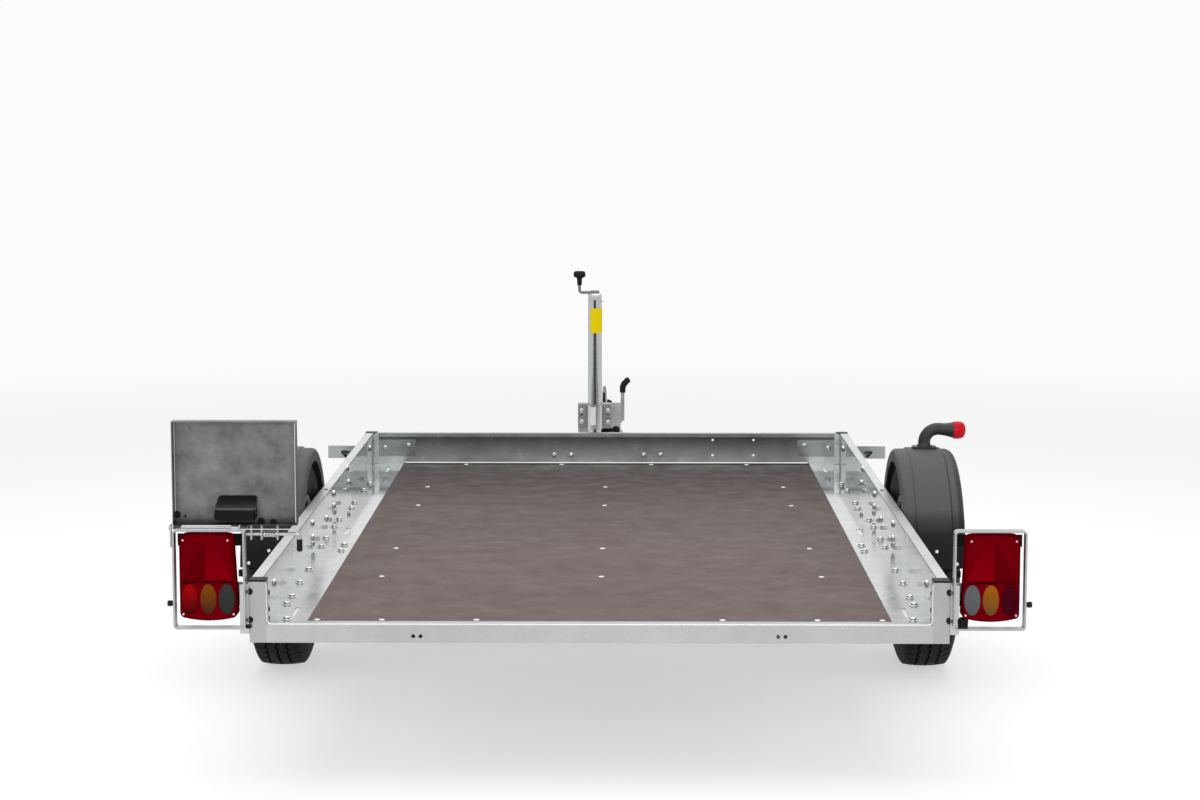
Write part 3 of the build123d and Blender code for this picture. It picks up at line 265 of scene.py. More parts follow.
wear(bright_zinc, "overrun_tube", "jack_leg", "jack_fork", "brake_lever")

# %% [markdown]
# ## Zinc that changes from end to end
# Zinc that has stood in the weather dulls where water runs and stays mirror-like where it is sheltered.
# The front wall's colour gets darker with height, as painted shade and reflection, darkest in a band
# just under its folded rail. The tray is darker along its lower edge. The side walls shine most
# towards the front, where their sheet is painted darker as shade; their rails are as dull as the rest
# of the frame.

# %% Front wall, tray and side walls
# Painted shade and reflection: the front wall's zinc darkens with height, darkest in a band just under its
# folded rail.
upward = ("Z", deck_z, wall_high.z, (0.0, 1.0), (0.16, 0.98), (0.26, 0.84), (0.48, 0.57), (0.68, 0.34),
          (0.85, 0.18), (0.875, 0.18), (0.885, 0.58), (1.0, 0.62))
zinc_front = galvanised("zinc_front", (0.50, 0.53, 0.54), (0.74, 0.76, 0.77), 60, (0.18, 0.28), 0.96,
                        shade=upward)
plate_low, plate_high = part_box("plate_tray")
# The tray's zinc gets darker towards its lower edge.
darker_low_edge = ("Z", plate_low.z, plate_high.z, (0.0, 0.30), (0.05, 0.40), (0.11, 0.85), (0.2, 1.0))
zinc_tray = galvanised("zinc_tray", (0.125, 0.128, 0.128), (0.31, 0.315, 0.315), 24, (0.34, 0.46), 0.7,
                       shade=darker_low_edge, mottle=0.42)
zinc_sheet = galvanised("zinc_sheet", (0.58, 0.60, 0.605), (0.78, 0.795, 0.795), 70, metal=0.92, grain=0,
                        mottle=0.12)
plain = zinc_sheet.shader.inputs["Base Color"].links[0].from_socket
# Painted shade: the walls' sheet darkens from about 1.8 m forward, while the rails keep the plain colour.
darker = zinc_sheet.shaded(plain, "Y", along(1.2), along(2.5), (0.0, 0.98), (0.46, 0.82), (0.52, 0.46),
                           (1.0, 0.42))
rail = zinc_sheet.ramp(zinc_sheet.along("Z", wall_high.z - 0.006, wall_high.z), (0.2, 0.0), (0.6, 1.0))
dull, bright = (zinc_sheet.ramp(zinc_sheet.noise(24, detail=4), (0.3, low), (0.7, high))
                for low, high in ((0.17, 0.23), (0.05, 0.09)))
gloss = zinc_sheet.mix("MIX", zinc_sheet.along("Y", along(0.7), along(1.5)), dull, bright)
zinc_sheet.set("Roughness", zinc_sheet.mix("MIX", rail, gloss, (0.40, 0.40, 0.40)))
zinc_sheet.set("Base Color", zinc_sheet.mix("MIX", rail, darker, plain))
wear(zinc_front, "front_wall")
wear(zinc_tray, "plate_tray")
wear(zinc_sheet, "side_walls")
print("zinc finishes made")

# %% [markdown]
# ## Film-faced plywood
# The floor is a birch board with a dark brown phenol film. Its face is pressed against a wire mesh,
# so it has a fine raised grid for grip, and boots and loads leave pale scuffs.

# %% Plywood
board = Finish("film_faced_plywood", (0.14, 0.105, 0.10), 0.5, Specular_IOR_Level=0.08)
streak = board.noise(2.2, detail=6, roughness=0.6, place=board.stretched((0.8, 1.6, 1)))
film = board.ramp(streak, (0.25, (0.134, 0.096, 0.088)), (0.75, (0.168, 0.128, 0.120)))
# Painted shade: the film gets darker towards the front of the bed.
board.set("Base Color", board.shaded(film, "Y", bed_rear_y, bed_front_y, (0.0, 0.95), (0.35, 0.90),
                                     (0.62, 0.76), (0.88, 0.36), (1.0, 0.29)))
board.set("Roughness", board.ramp(board.noise(14, detail=5), (0.3, 0.42), (0.7, 0.6)))
board.bump(board.cells(330), 0.35, 0.0006)
wear(board, "floor_panel")
print("the board has its film")

# %% [markdown]
# ## Plastics, rubber and paint
# Moulded parts differ mostly in gloss and in the size of their grain: a mudguard has the dull skin
# of rotomoulded plastic, a cap is smoother, and tyres have almost no shine.

# %% Moulded plastic and rubber
def moulded(name, colour, roughness, grain, depth, scuff=0.25, shine=0.1, shade=None, outward_painted_shade=1.0):
    """A skin with a grain and paler scuffs, with painted shade along an axis if shade is given; the last
    argument is how dark the painted shade gets where a face looks outward.
    """
    plastic = Finish(name, colour, roughness, Specular_IOR_Level=shine)
    light = tuple(min(1, channel * (1 + scuff) + 0.01) for channel in colour)
    skin = plastic.mix("MIX", plastic.noise(9, detail=5, roughness=0.65), colour, light)
    if shade:
        skin = plastic.shaded(skin, *shade)
    # Painted shade on faces that look outward.
    if outward_painted_shade != 1.0:
        outward = calculated(plastic.tree, "MULTIPLY", plastic.facing("X"), plastic.along("X", 0.0, 0.5))
        skin = plastic.mix("MULTIPLY", 1.0, skin, plastic.ramp(outward, (0.12, 1.0), (0.5, outward_painted_shade)))
    plastic.set("Base Color", skin)
    plastic.set("Roughness", plastic.ramp(plastic.noise(30), (0.3, roughness - 0.06), (0.7, roughness + 0.08)))
    plastic.bump(plastic.noise(grain, detail=2), 0.3, depth)
    return plastic


black_plastic = moulded("black_plastic", (0.009, 0.009, 0.010), 0.42, 900, 0.0002)
# The mudguard's colour is painted with shade and light: dark towards its bottom, a little lighter at its top,
# and darker on faces that look outward.
mudguard_plastic = moulded("mudguard_plastic", (0.088, 0.088, 0.090), 0.50, 700, 0.0004,
                           shade=("Z", 0.36, 0.58, (0.0, 0.10), (0.18, 0.16), (0.34, 0.50), (0.46, 0.96),
                                  (0.85, 1.0), (1.0, 1.1)), outward_painted_shade=0.5)
crank_steel = moulded("crank_steel", (0.20, 0.20, 0.205), 0.4, 300, 0.0002, scuff=0.3, shine=0.4)
soft_rubber = moulded("soft_rubber", (0.011, 0.011, 0.012), 0.55, 500, 0.0003)
tyre_rubber = moulded("tyre_rubber", (0.012, 0.012, 0.011), 0.68, 600, 0.0003, scuff=0.6)
rim_paint = moulded("rim_paint", (0.42, 0.43, 0.44), 0.36, 1200, 0.0001, scuff=0.1, shine=0.4)
cast_grey = moulded("cast_grey", (0.33, 0.34, 0.35), 0.42, 260, 0.0005, scuff=0.15, shine=0.3)
dark_iron = moulded("dark_iron", (0.09, 0.09, 0.09), 0.6, 220, 0.0005)
lamp_black = moulded("lamp_black", (0.010, 0.010, 0.011), 0.5, 900, 0.0002, shine=0.0)
wear(black_plastic, "corner_caps", "plate_lamp", "stop_bolts")
wear(lamp_black, "lamp_bases")
wear(soft_rubber, "marker_arms", "gaiter", "brake_grip", "crank_knob", "latch_sleeve", "jockey_wheel")
wear(mudguard_plastic, "mudguards")
wear(crank_steel, "jack_crank")
wear(tyre_rubber, "tyre_left", "tyre_right")
wear(rim_paint, "rim_left", "rim_right")
wear(dark_iron, "hub_left", "hub_right")
wear(cast_grey, "overrun_housing", "coupling_head", "coupling_handle")
print("plastics, rubber and paint made")

# %% [markdown]
# ## Lamp lenses
# A lens is clear plastic dyed through, with rows of small prisms moulded on its inside. A strong
# colour without a highlight gives depth, and a fine ribbed bump gives the prisms.

# %% Lenses
def lens(name, deep, light):
    """A dyed lens between two colours, with rows of prisms."""
    moulding = Finish(name, deep, 0.14, Specular_IOR_Level=0.0)
    moulding.set("Base Color", moulding.mix("MIX", moulding.noise(18, detail=4), deep, light))
    prisms = wire(moulding.tree, "ShaderNodeTexWave", Vector=moulding.place, Scale=420)
    moulding.bump(prisms.outputs["Fac"], 0.12, 0.0004)
    return moulding


wear(lens("red_lens", (0.13, 0.0, 0.003), (0.24, 0.0, 0.006)), "red_lenses")

# %% [markdown]
# ## Tools for shaping
# Most pieces of a trailer are turned, bent or cut from sheet. So three ways of making a mesh do
# nearly all the work: turning a profile round an axis, running a round section along a bent path,
# and thickening a flat outline. They could each be a curve object with a bevel, but points written
# straight into a mesh stay exactly where the frame says.

# %% A mesh in the making
class Shape:
    """Collects surfaces, given in metres where they lie on the trailer, and becomes one piece."""

    def __init__(self):
        self.mesh = bmesh.new()

    def skin(self, rings, loop=False):
        """A surface over rings of points, with its two ends closed or joined to each other."""
        rows = [[self.mesh.verts.new(point) for point in ring] for ring in rings]
        pairs = list(zip(rows, rows[1:])) + ([(rows[-1], rows[0])] if loop else [])
        for first, second in pairs:
            for k in range(len(first)):
                n = (k + 1) % len(first)
                self.mesh.faces.new((first[k], first[n], second[n], second[k]))
        if not loop:
            self.mesh.faces.new(reversed(rows[0]))
            self.mesh.faces.new(rows[-1])
        return self

    def turned(self, profile, centre, axis=(1, 0, 0), steps=48, loop=False):
        """A profile of (distance along the axis, radius), turned round the axis."""
        centre, axis = Vector(centre), Vector(axis).normalized()
        side = axis.orthogonal().normalized()
        other = axis.cross(side)
        rings = [[centre + axis * far + (side * math.cos(a) + other * math.sin(a)) * max(radius, 1e-5)
                  for a in turns_of(steps)] for far, radius in profile]
        return self.skin(rings, loop)

    def run(self, path, radius, sides=12):
        """A round bar along a path; the radius is one number or one for each point."""
        path = [Vector(point) for point in path]
        radii = radius if isinstance(radius, (list, tuple)) else [radius] * len(path)
        rings = []
        side = (path[1] - path[0]).orthogonal().normalized()
        for k, point in enumerate(path):
            ahead = (path[min(k + 1, len(path) - 1)] - path[max(k - 1, 0)]).normalized()
            side = (side - ahead * side.dot(ahead)).normalized()
            other = ahead.cross(side)
            rings.append([point + (side * math.cos(a) + other * math.sin(a)) * radii[k]
                          for a in turns_of(sides)])
        return self.skin(rings)

    def slab(self, outline, origin, right, up, thickness):
        """A flat outline on the plane of two directions, thickened along right x up."""
        origin, right, up = Vector(origin), Vector(right), Vector(up)
        lift = right.cross(up).normalized() * thickness
        near = [origin + right * a + up * b for a, b in outline]
        return self.skin([near, [point + lift for point in near]])

    def mirrored(self):
        """Adds the other side of the trailer."""
        geometry = self.mesh.verts[:] + self.mesh.edges[:] + self.mesh.faces[:]
        copy = bmesh.ops.duplicate(self.mesh, geom=geometry)["geom"]
        for vert in (item for item in copy if isinstance(item, bmesh.types.BMVert)):
            vert.co.x = -vert.co.x
        return self

    def made(self, name, crease):
        """The shape as an object, smooth where it bends less than the crease angle."""
        bmesh.ops.remove_doubles(self.mesh, verts=self.mesh.verts, dist=1e-6)
        bmesh.ops.recalc_face_normals(self.mesh, faces=self.mesh.faces)
        for face in self.mesh.faces:
            face.smooth = True
        for edge in self.mesh.edges:
            if len(edge.link_faces) == 2:
                edge.smooth = edge.calc_face_angle() < math.radians(crease)
        mesh = bpy.data.meshes.new(name)
        self.mesh.to_mesh(mesh)
        self.mesh.free()
        return bpy.data.objects.new(name, mesh)

    def done(self, name, finish, body="chassis", slot=None, crease=35, bevel=0, replaces=None):
        """Turns the shape into a finished piece of the trailer, perhaps in place of a CAD node."""
        piece = dress(self.made(name, crease), finish, body, bevel)
        if replaces:
            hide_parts(replaces)


def dress(piece, finish, body, bevel=0):
    """Links a piece, gives it its finish and lets it ride on its body."""
    bpy.context.collection.objects.link(piece)
    piece.data.materials.clear()
    piece.data.materials.append(finish.material)
    if bevel:
        rounding = piece.modifiers.new("rounding", "BEVEL")
        rounding.width = bevel
        rounding.segments = 2
        rounding.limit_method = "ANGLE"
    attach(piece, body)
    print(piece.name, "has", len(piece.data.polygons), "faces and rides on", body)
    return piece


def bent(points, radius, steps=6):
    """A path whose corners are rounded, from its corner points."""
    points = [Vector(point) for point in points]
    path = [points[0]]
    for before, corner, after in zip(points, points[1:], points[2:]):
        back, ahead = (before - corner).normalized(), (after - corner).normalized()
        reach = min(radius, 0.45 * (before - corner).length, 0.45 * (after - corner).length)
        start, end = corner + back * reach, corner + ahead * reach
        for k in range(steps + 1):
            t = k / steps
            path.append(start * (1 - t) ** 2 + corner * 2 * t * (1 - t) + end * t ** 2)
    return path + [points[-1]]


# %% [markdown]
# ## Fasteners by Geometry Nodes
# A trailer is bolted together from hundreds of small fasteners of a few kinds. Each kind is one head,
# turned or cut once. Its places are the points of a mesh, which also carry the way each head faces.
# A node tree sets the head on every point, which is quicker to change than copying by hand. The
# places are found by looking from a point towards the sheet, so that each head sits on its surface.

# %% Seats on the sheet metal
surfaces = {}
furthest = 2.0


def seat(names, start, towards):
    """The point where a line from start first meets one of the named nodes, and the way out of it."""
    found = []
    for name in names:
        if name not in surfaces:
            mesh = nodes[name].data
            surfaces[name] = BVHTree.FromPolygons([v.co.copy() for v in mesh.vertices],
                                                  [p.vertices[:] for p in mesh.polygons])
        place, _, _, distance = surfaces[name].ray_cast(Vector(start), Vector(towards), furthest)
        if place is not None:
            found.append((distance, place))
    if not found:
        print("no surface for a fastener at", [round(v, 3) for v in start])
        return None
    return min(found)[1], -Vector(towards).normalized()


# %% Starting a node tree and letting it work on a mesh
def geometry_tree(name, **kinds):
    """A node tree that takes and gives geometry, with other inputs of the kinds named."""
    tree = bpy.data.node_groups.new(name, "GeometryNodeTree")
    for label, kind in (("Geometry", "Geometry"), *kinds.items()):
        tree.interface.new_socket(label, in_out="INPUT", socket_type="NodeSocket" + kind)
    tree.interface.new_socket("Geometry", in_out="OUTPUT", socket_type="NodeSocketGeometry")
    return tree, wire(tree, "NodeGroupInput").outputs


def worked(tree, mesh, **values):
    """What a tree makes of a mesh, as a plain mesh; a modifier knows each input by its identifier."""
    holder = bpy.data.objects.new("holder", mesh)
    bpy.context.collection.objects.link(holder)
    modifier = holder.modifiers.new("nodes", "NODES")
    modifier.node_group = tree
    identifiers = {item.name: item.identifier for item in tree.interface.items_tree if item.in_out == "INPUT"}
    for label, value in values.items():
        modifier[identifiers[label]] = value
    result = bpy.data.meshes.new_from_object(holder.evaluated_get(bpy.context.evaluated_depsgraph_get()))
    bpy.data.objects.remove(holder)
    return result


# %% A node tree that sets a head on every point
heads_on_points, given = geometry_tree("heads_on_points", Head="Object", Seed="Int", Finish="Material")
outward = wire(heads_on_points, "GeometryNodeInputNamedAttribute", Name="outward")
outward.data_type = "FLOAT_VECTOR"
facing = wire(heads_on_points, "FunctionNodeAlignRotationToVector", Vector=outward.outputs["Attribute"])
facing.axis = "Z"
spin = wire(heads_on_points, "FunctionNodeRandomValue", Seed=given["Seed"])
spin.data_type = "FLOAT"
float_max_in, float_out = 3, 1
spin.inputs[float_max_in].default_value = 2 * math.pi
twist = wire(heads_on_points, "ShaderNodeCombineXYZ", Z=spin.outputs[float_out]).outputs[0]
turned = wire(heads_on_points, "FunctionNodeRotateRotation", Rotation=facing.outputs[0],
              Rotate_By=wire(heads_on_points, "FunctionNodeEulerToRotation", Euler=twist).outputs[0])
turned.rotation_space = "LOCAL"
head = wire(heads_on_points, "GeometryNodeObjectInfo", Object=given["Head"])
placed = wire(heads_on_points, "GeometryNodeInstanceOnPoints", Points=given["Geometry"],
              Instance=head.outputs["Geometry"], Rotation=turned.outputs[0])
solid = wire(heads_on_points, "GeometryNodeRealizeInstances", placed.outputs[0])
finished = wire(heads_on_points, "GeometryNodeSetMaterial", solid.outputs[0], Material=given["Finish"])
wire(heads_on_points, "NodeGroupOutput", finished.outputs[0])


def fasten(name, head, places, finish, body="chassis"):
    """Sets one kind of head on each place, and makes the result a plain mesh."""
    places = [place for place in places if place]
    mesh = bpy.data.meshes.new(name)
    mesh.from_pydata([place for place, _ in places], [], [])
    outward = mesh.attributes.new("outward", "FLOAT_VECTOR", "POINT")
    for item, (_, way) in zip(outward.data, places):
        item.vector = way
    heads = worked(heads_on_points, mesh, Head=head, Seed=len(places), Finish=finish.material)
    dress(bpy.data.objects.new(name, heads), finish, body)


# %% [markdown]
# ## Heads
# A hexagon bolt stands on a washer, narrows a little at its top and is slightly hollow there. A
# panel screw has a low dome with a recess. A countersunk floor screw shows only a ring and a recess.
# A head has about a hundred faces at most, because it is used so often.

# %% The heads of screws and bolts
def head_of(name, *turnings):
    """Turned bodies along Z, each (profile, number of sides), shaded smooth as if the zinc ran over them."""
    shape = Shape()
    for profile, sides in turnings:
        shape.skin([[(radius * math.cos(a), radius * math.sin(a), far) for a in turns_of(sides)]
                    for far, radius in profile])
    return shape.made(name, 180)


def hexagon(radius, height, washer):
    """The two turned bodies of a bolt's head: a washer and a hexagon with a hollow top."""
    return (((-0.001, washer), (0.0012, washer), (0.0015, washer * 0.95)), 18), \
           (((0.0, radius), (height * 0.8, radius), (height, radius * 0.93), (height, radius * 0.5115),
             (height * 0.86, radius * 0.372)), 6)


bolt_head = head_of("bolt_head", *hexagon(0.0082, 0.0062, 0.0118))
small_head = head_of("small_head", *hexagon(0.0056, 0.0042, 0.0080))
nut_head = head_of("nut_head", *hexagon(0.0105, 0.0075, 0.0135),
                   (((0, 0.0055), (0.0125, 0.0055), (0.0135, 0.0045)), 12))
dome_head = head_of("dome_head", (((-0.001, 0.0105), (0.0008, 0.0105), (0.0034, 0.0088), (0.0050, 0.0056),
                                   (0.0054, 0.0024), (0.0040, 0.0016)), 20))
lamp_head = head_of("lamp_head", (((-0.001, 0.0028), (0.0006, 0.0028), (0.0014, 0.0022), (0.0016, 0.0012),
                                   (0.0010, 0.0008)), 14))
button_head = head_of("button_head", (((-0.001, 0.0046), (0.0006, 0.0046), (0.0018, 0.0038), (0.0024, 0.0018),
                                       (0.0016, 0.0012)), 16))
floor_head = head_of("floor_head", (((-0.001, 0.0074), (0.0006, 0.0074), (0.0013, 0.0060), (0.0015, 0.0026),
                                     (0.0009, 0.0018)), 18))
print("seven kinds of head")

# %% [markdown]
# ## Tyres
# A tyre's tread repeats one short pitch all the way round: here four ribs, with zig-zag grooves
# between them and a slot in each shoulder. The pitch could be carved along a whole ring, but it is
# easier to draw one of them, from bead to bead, and let a node tree repeat it about the wheel's axis.
# Merging by distance then closes the seams between the pitches.

# %% A node tree that repeats a pitch round an axis
pitches_round_axis, given = geometry_tree("pitches_round_axis", Count="Int", Centre="Vector", Finish="Material")
points = wire(pitches_round_axis, "GeometryNodeMeshLine", Count=given["Count"], Start_Location=given["Centre"],
              Offset=(0, 0, 0))
index = wire(pitches_round_axis, "GeometryNodeInputIndex").outputs[0]
share = calculated(pitches_round_axis, "DIVIDE", index, given["Count"])
angle = calculated(pitches_round_axis, "MULTIPLY", share, 2 * math.pi)
turn = wire(pitches_round_axis, "ShaderNodeCombineXYZ", X=angle).outputs[0]
placed = wire(pitches_round_axis, "GeometryNodeInstanceOnPoints", Points=points.outputs["Mesh"],
              Instance=given["Geometry"], Rotation=turn)
solid = wire(pitches_round_axis, "GeometryNodeRealizeInstances", placed.outputs[0])
closed = wire(pitches_round_axis, "GeometryNodeMergeByDistance", Geometry=solid.outputs[0], Distance=0.00002)
finished = wire(pitches_round_axis, "GeometryNodeSetMaterial", closed.outputs[0], Material=given["Finish"])
wire(pitches_round_axis, "NodeGroupOutput", finished.outputs[0])


def ring_of(points, faces, count, centre, finish):
    """A shape holding one pitch, drawn round the wheel's centre, repeated into a closed ring."""
    pitch = bpy.data.meshes.new("pitch")
    pitch.from_pydata(points, [], faces)
    shape = Shape()
    shape.mesh.from_mesh(worked(pitches_round_axis, pitch, Count=count, Centre=centre, Finish=finish.material))
    return shape


def grid_faces(columns, rows):
    """Quads between neighbouring columns of points, each column a closed line."""
    return [(c * rows + r, c * rows + (r + 1) % rows, (c + 1) * rows + (r + 1) % rows, (c + 1) * rows + r)
            for c in range(columns - 1) for r in range(rows)]


# %% The tyre's section and its tread
tread_half = 0.054
groove_places = (-0.027, 0.0, 0.027)
groove_half, groove_depth, zigzag = 0.0034, 0.0075, 0.0026
pitch_count = 56
pitch_steps = (0.0, 0.03, 0.13, 0.16, 0.5, 0.78, 1.0)
side_wall = ((0.0547, 0.1623), (0.0547, 0.1783), (0.0585, 0.1812), (0.0640, 0.1850), (0.0644, 0.1880),
             (0.0664, 0.1935), (0.0690, 0.2060), (0.0707, 0.2180), (0.0707, 0.2300), (0.0697, 0.2380),
             (0.0703, 0.2392), (0.0702, 0.2410), (0.0688, 0.2425), (0.0668, 0.2510), (0.0640, 0.2590),
             (0.0610, 0.2655), (0.0575, 0.2712))


def crown(offset):
    """The tread's radius at a distance from the middle of the tyre."""
    return tyre_radius - 0.005 * (offset / tread_half) ** 2


def tyre_column(step):
    """The closed section of the tyre at one step of the pitch: (distance across, radius)."""
    shift = zigzag * (1 - 4 * abs(step - 0.5))
    slotted = 0.0055 if 0.02 < step < 0.15 else 0.0
    shoulder = [(tread_half, crown(tread_half) - slotted), (0.046, crown(0.046) - slotted),
                (0.0415, crown(0.0415) - slotted * 0.2)]
    ribs = []
    for place in reversed(groove_places):
        for offset in (groove_half, groove_half * 0.6, -groove_half * 0.6, -groove_half):
            radius = crown(place + offset) if abs(offset) == groove_half else crown(place) - groove_depth
            ribs.append((place + offset + shift, radius))
    other = [(-across, radius) for across, radius in reversed([*side_wall, *shoulder])]
    return [*side_wall, *shoulder, *ribs, *other]


sides = (("left", -1), ("right", 1))
wheel_centres = {side: Vector((way * abs(axle.x), axle.y, tyre_radius)) for side, way in sides}
for side, way in sides:
    points = []
    for step in pitch_steps:
        turn = 2 * math.pi * step / pitch_count
        section = tyre_column(step)
        points += [(across, -radius * math.sin(turn), radius * math.cos(turn)) for across, radius in section]
    ring = ring_of(points, grid_faces(len(pitch_steps), len(section)), pitch_count, wheel_centres[side],
                   tyre_rubber)
    ring.done(f"tyre_with_tread_{side}", tyre_rubber, f"wheel_{side}", "tyre", 32, replaces=f"tyre_{side}")

# %% [markdown]
# ## Steel rims
# The rim is pressed from two sheets: a barrel that holds the beads, and a dished disc with a ring of
# vent holes, bolted to the hub. A plain turned disc would look like a lid. So one sector of the disc
# is drawn with its hole, as rings of points between the sector's edge and the hole's edge, and the
# same tree as the tread's repeats it.

# %% A sector of the disc with its vent hole
vent_count = 8
vent_radius, vent_half_height, vent_half_width = 0.1140, 0.0125, 0.0190
disc_face = -0.028
disc_rows = ((0.072, 0.013), (0.082, 0.006), (0.094, 0.001), (0.126, 0.003), (0.140, 0.009), (0.152, 0.020))


def disc_depth(radius):
    """How far the disc stands out at a radius: raised at its edge and round the bolts."""
    for (r0, d0), (r1, d1) in zip(disc_rows, disc_rows[1:]):
        if radius <= r1:
            t = max(0, (radius - r0) / (r1 - r0))
            return disc_face + d0 + (d1 - d0) * t * t * (3 - 2 * t)
    return disc_face + disc_rows[-1][1]


half_sector = math.pi / vent_count
disc_inner, disc_outer = disc_rows[0][0], disc_rows[-1][0]
corners = [(disc_outer, half_sector), (disc_outer, -half_sector), (disc_inner, -half_sector),
           (disc_inner, half_sector)]
sector_edge = []
for (r0, a0), (r1, a1) in zip(corners, corners[1:] + corners[:1]):
    sector_edge += [(r0 + (r1 - r0) * k / 6, a0 + (a1 - a0) * k / 6) for k in range(6)]


def vent_edge(grow):
    """Points round the vent hole, each facing its partner on the sector's edge."""
    return [(vent_radius + (vent_half_height + grow) * math.sin(math.pi / 4 - a),
             (vent_half_width + grow) * math.cos(math.pi / 4 - a) / vent_radius)
            for a in turns_of(len(sector_edge))]


def ring_between(share, grow, lift=0.0):
    """A ring of (radius, angle, depth) part of the way from the sector's edge to the vent."""
    ring = [(r0 + (r1 - r0) * share, a0 + (a1 - a0) * share)
            for (r0, a0), (r1, a1) in zip(sector_edge, vent_edge(grow))]
    return [(radius, angle, disc_depth(radius) + lift) for radius, angle in ring]


front = [ring_between(share, 0.004) for share in (0.0, 0.25, 0.5, 0.75, 1.0)]
lip = [ring_between(1.0, 0.002, 0.001), ring_between(1.0, 0.0, -0.001), ring_between(1.0, 0.0, -0.007)]
back = [[(r, a, d - 0.004) for r, a, d in ring] for ring in reversed(front)]

# %% The disc, its bolt seat and the barrel, joined into one rim
barrel_half = 0.058
barrel = ((barrel_half, 0.1765), (barrel_half - 0.001, 0.178), (barrel_half - 0.0025, 0.178),
          (barrel_half - 0.003, 0.165), (barrel_half - 0.004, 0.162), (0.044, 0.1615), (0.038, 0.151),
          (0.012, 0.151), (0.004, 0.1605), (-0.044, 0.1612), (0.004 - barrel_half, 0.162),
          (0.003 - barrel_half, 0.165), (0.0025 - barrel_half, 0.178), (0.001 - barrel_half, 0.178),
          (-barrel_half, 0.1765), (-barrel_half, 0.163), (0.003 - barrel_half, 0.1595), (-0.044, 0.1585),
          (0.002, 0.1578), (0.010, 0.148), (0.040, 0.148), (0.046, 0.1590), (barrel_half - 0.003, 0.1595),
          (barrel_half, 0.163))
seat_depth, stud_radius = disc_face + 0.0145, 0.05
bolt_seat = ((disc_face + 0.013, disc_inner), (seat_depth, 0.068), (seat_depth, 0.040),
             (seat_depth + 0.001, 0.0365), (seat_depth + 0.001, 0.0338), (seat_depth - 0.006, 0.0338),
             (seat_depth - 0.006, 0.066), (disc_face + 0.009, disc_inner))
flange = ((disc_face + 0.020, disc_outer), (disc_face + 0.021, 0.1545), (disc_face + 0.016, 0.1572),
          (disc_face + 0.002, 0.1574), (disc_face + 0.002, 0.1545), (disc_face + 0.016, disc_outer))
for side, way in sides:
    rings = front + lip + back
    points = [(way * depth, radius * math.sin(angle), radius * math.cos(angle))
              for ring in rings for radius, angle, depth in ring]
    disc = ring_of(points, grid_faces(len(rings), len(sector_edge)), vent_count, wheel_centres[side], rim_paint)
    for profile in (barrel, bolt_seat, flange):
        disc.turned([(way * far, radius) for far, radius in profile], wheel_centres[side], steps=96, loop=True)
    disc.done(f"steel_rim_{side}", rim_paint, f"wheel_{side}", "rim", crease=30, replaces=f"rim_{side}")
    cap = Shape().turned([(way * far, radius) for far, radius in (
        (seat_depth - 0.002, 0.0332), (0.020, 0.0332), (0.0215, 0.0322), (0.0385, 0.0315), (0.0440, 0.0290),
        (0.0462, 0.0230), (0.0464, 0.0))], wheel_centres[side], steps=40)
    cap.done(f"grease_cap_{side}", bright_zinc, f"wheel_{side}", "hub")
    studs = [(wheel_centres[side] + Vector((way * seat_depth, stud_radius * math.cos(a + math.pi / 4),
                                            stud_radius * math.sin(a + math.pi / 4))), Vector((way, 0, 0)))
             for a in turns_of(4)]
    fasten(f"wheel_bolts_{side}", nut_head, studs, bright_zinc, f"wheel_{side}")

# %% [markdown]
# ## Where the fasteners go
# Bolts along the floor strips hold the strips and the walls to the cross members. The wall bolts hold
# brackets outside, and the floor screws hold the board. The right and left sides match, so each place
# is written once, as a distance from the middle, a distance along the bed and a height, and mirrored.

# %% Bolts, rivets and screws of the tray
tray_nodes = ("side_walls", "front_wall", "rear_sill", "corner_brackets", "floor_panel", "corner_posts")
strip_bolts = ((700, 18), (722, 190), (722, 279), (726, 454), (726, 626), (675, 896), (676, 980), (734, 956),
               (736, 1084), (736, 1272), (735, 1390), (723, 1595), (725, 1694), (723, 1931), (718, 2066))
wall_rows = ((183, 51), (907, 32), (905, 70), (907, 17), (1213, 32), (1392, 38), (1405, 20), (1389, 73),
             (1734, 94), (1764, 49), (2390, 64))
member_middles = (539, 935, 1647, 2002)
floor_screws = ((487, 14), (275, 14), (632, 14), (144, 2486), (450, 2486), *((537, m) for m in member_middles))


def from_above(names, offset, station):
    """A seat found looking down, from millimetres across and along the bed."""
    return seat(names, (offset / 1000, along(station / 1000), deck_z + 0.08), down)


def on_wall(way, names, station, height):
    """A seat found looking sideways at a wall, from millimetres along the bed and above the floor."""
    return seat(names, (way * 0.6, along(station / 1000), deck_z + height / 1000), (way, 0, 0))


def on_front(names, offset, height, station=2.3):
    """A seat found looking forward."""
    return seat(names, (offset, along(station), deck_z + height), forward)


bolt_zinc = galvanised("bolt_zinc", (0.26, 0.27, 0.275), (0.40, 0.41, 0.41), 160, (0.22, 0.30), 0.9, grain=0)
lit_top = bolt_zinc.ramp(bolt_zinc.facing("Z"), (0.25, 0.0), (0.7, 1.0))
bolt_zinc.set("Base Color", bolt_zinc.mix("MIX", lit_top, (0.32, 0.33, 0.33), (0.97, 0.97, 0.97)))
on_strips = [from_above(tray_nodes, way * offset, station)
             for way in both_sides for offset, station in strip_bolts]
on_walls = [on_wall(way, ("side_walls",), *place) for way in both_sides for place in wall_rows]
on_floor = [from_above(("floor_panel",), way * offset, station)
            for way in both_sides for offset, station in floor_screws]
on_floor += [from_above(("floor_panel",), 0, station) for station in member_middles]
on_front_wall = [on_front(("front_wall",), offset, 0.0286) for offset in (-0.168, -0.113, 0.120, 0.174)]
on_front_wall += [on_front(tray_nodes, way * offset, height) for way in both_sides
                  for offset, height in ((0.636, 0.060), (0.712, 0.052))]
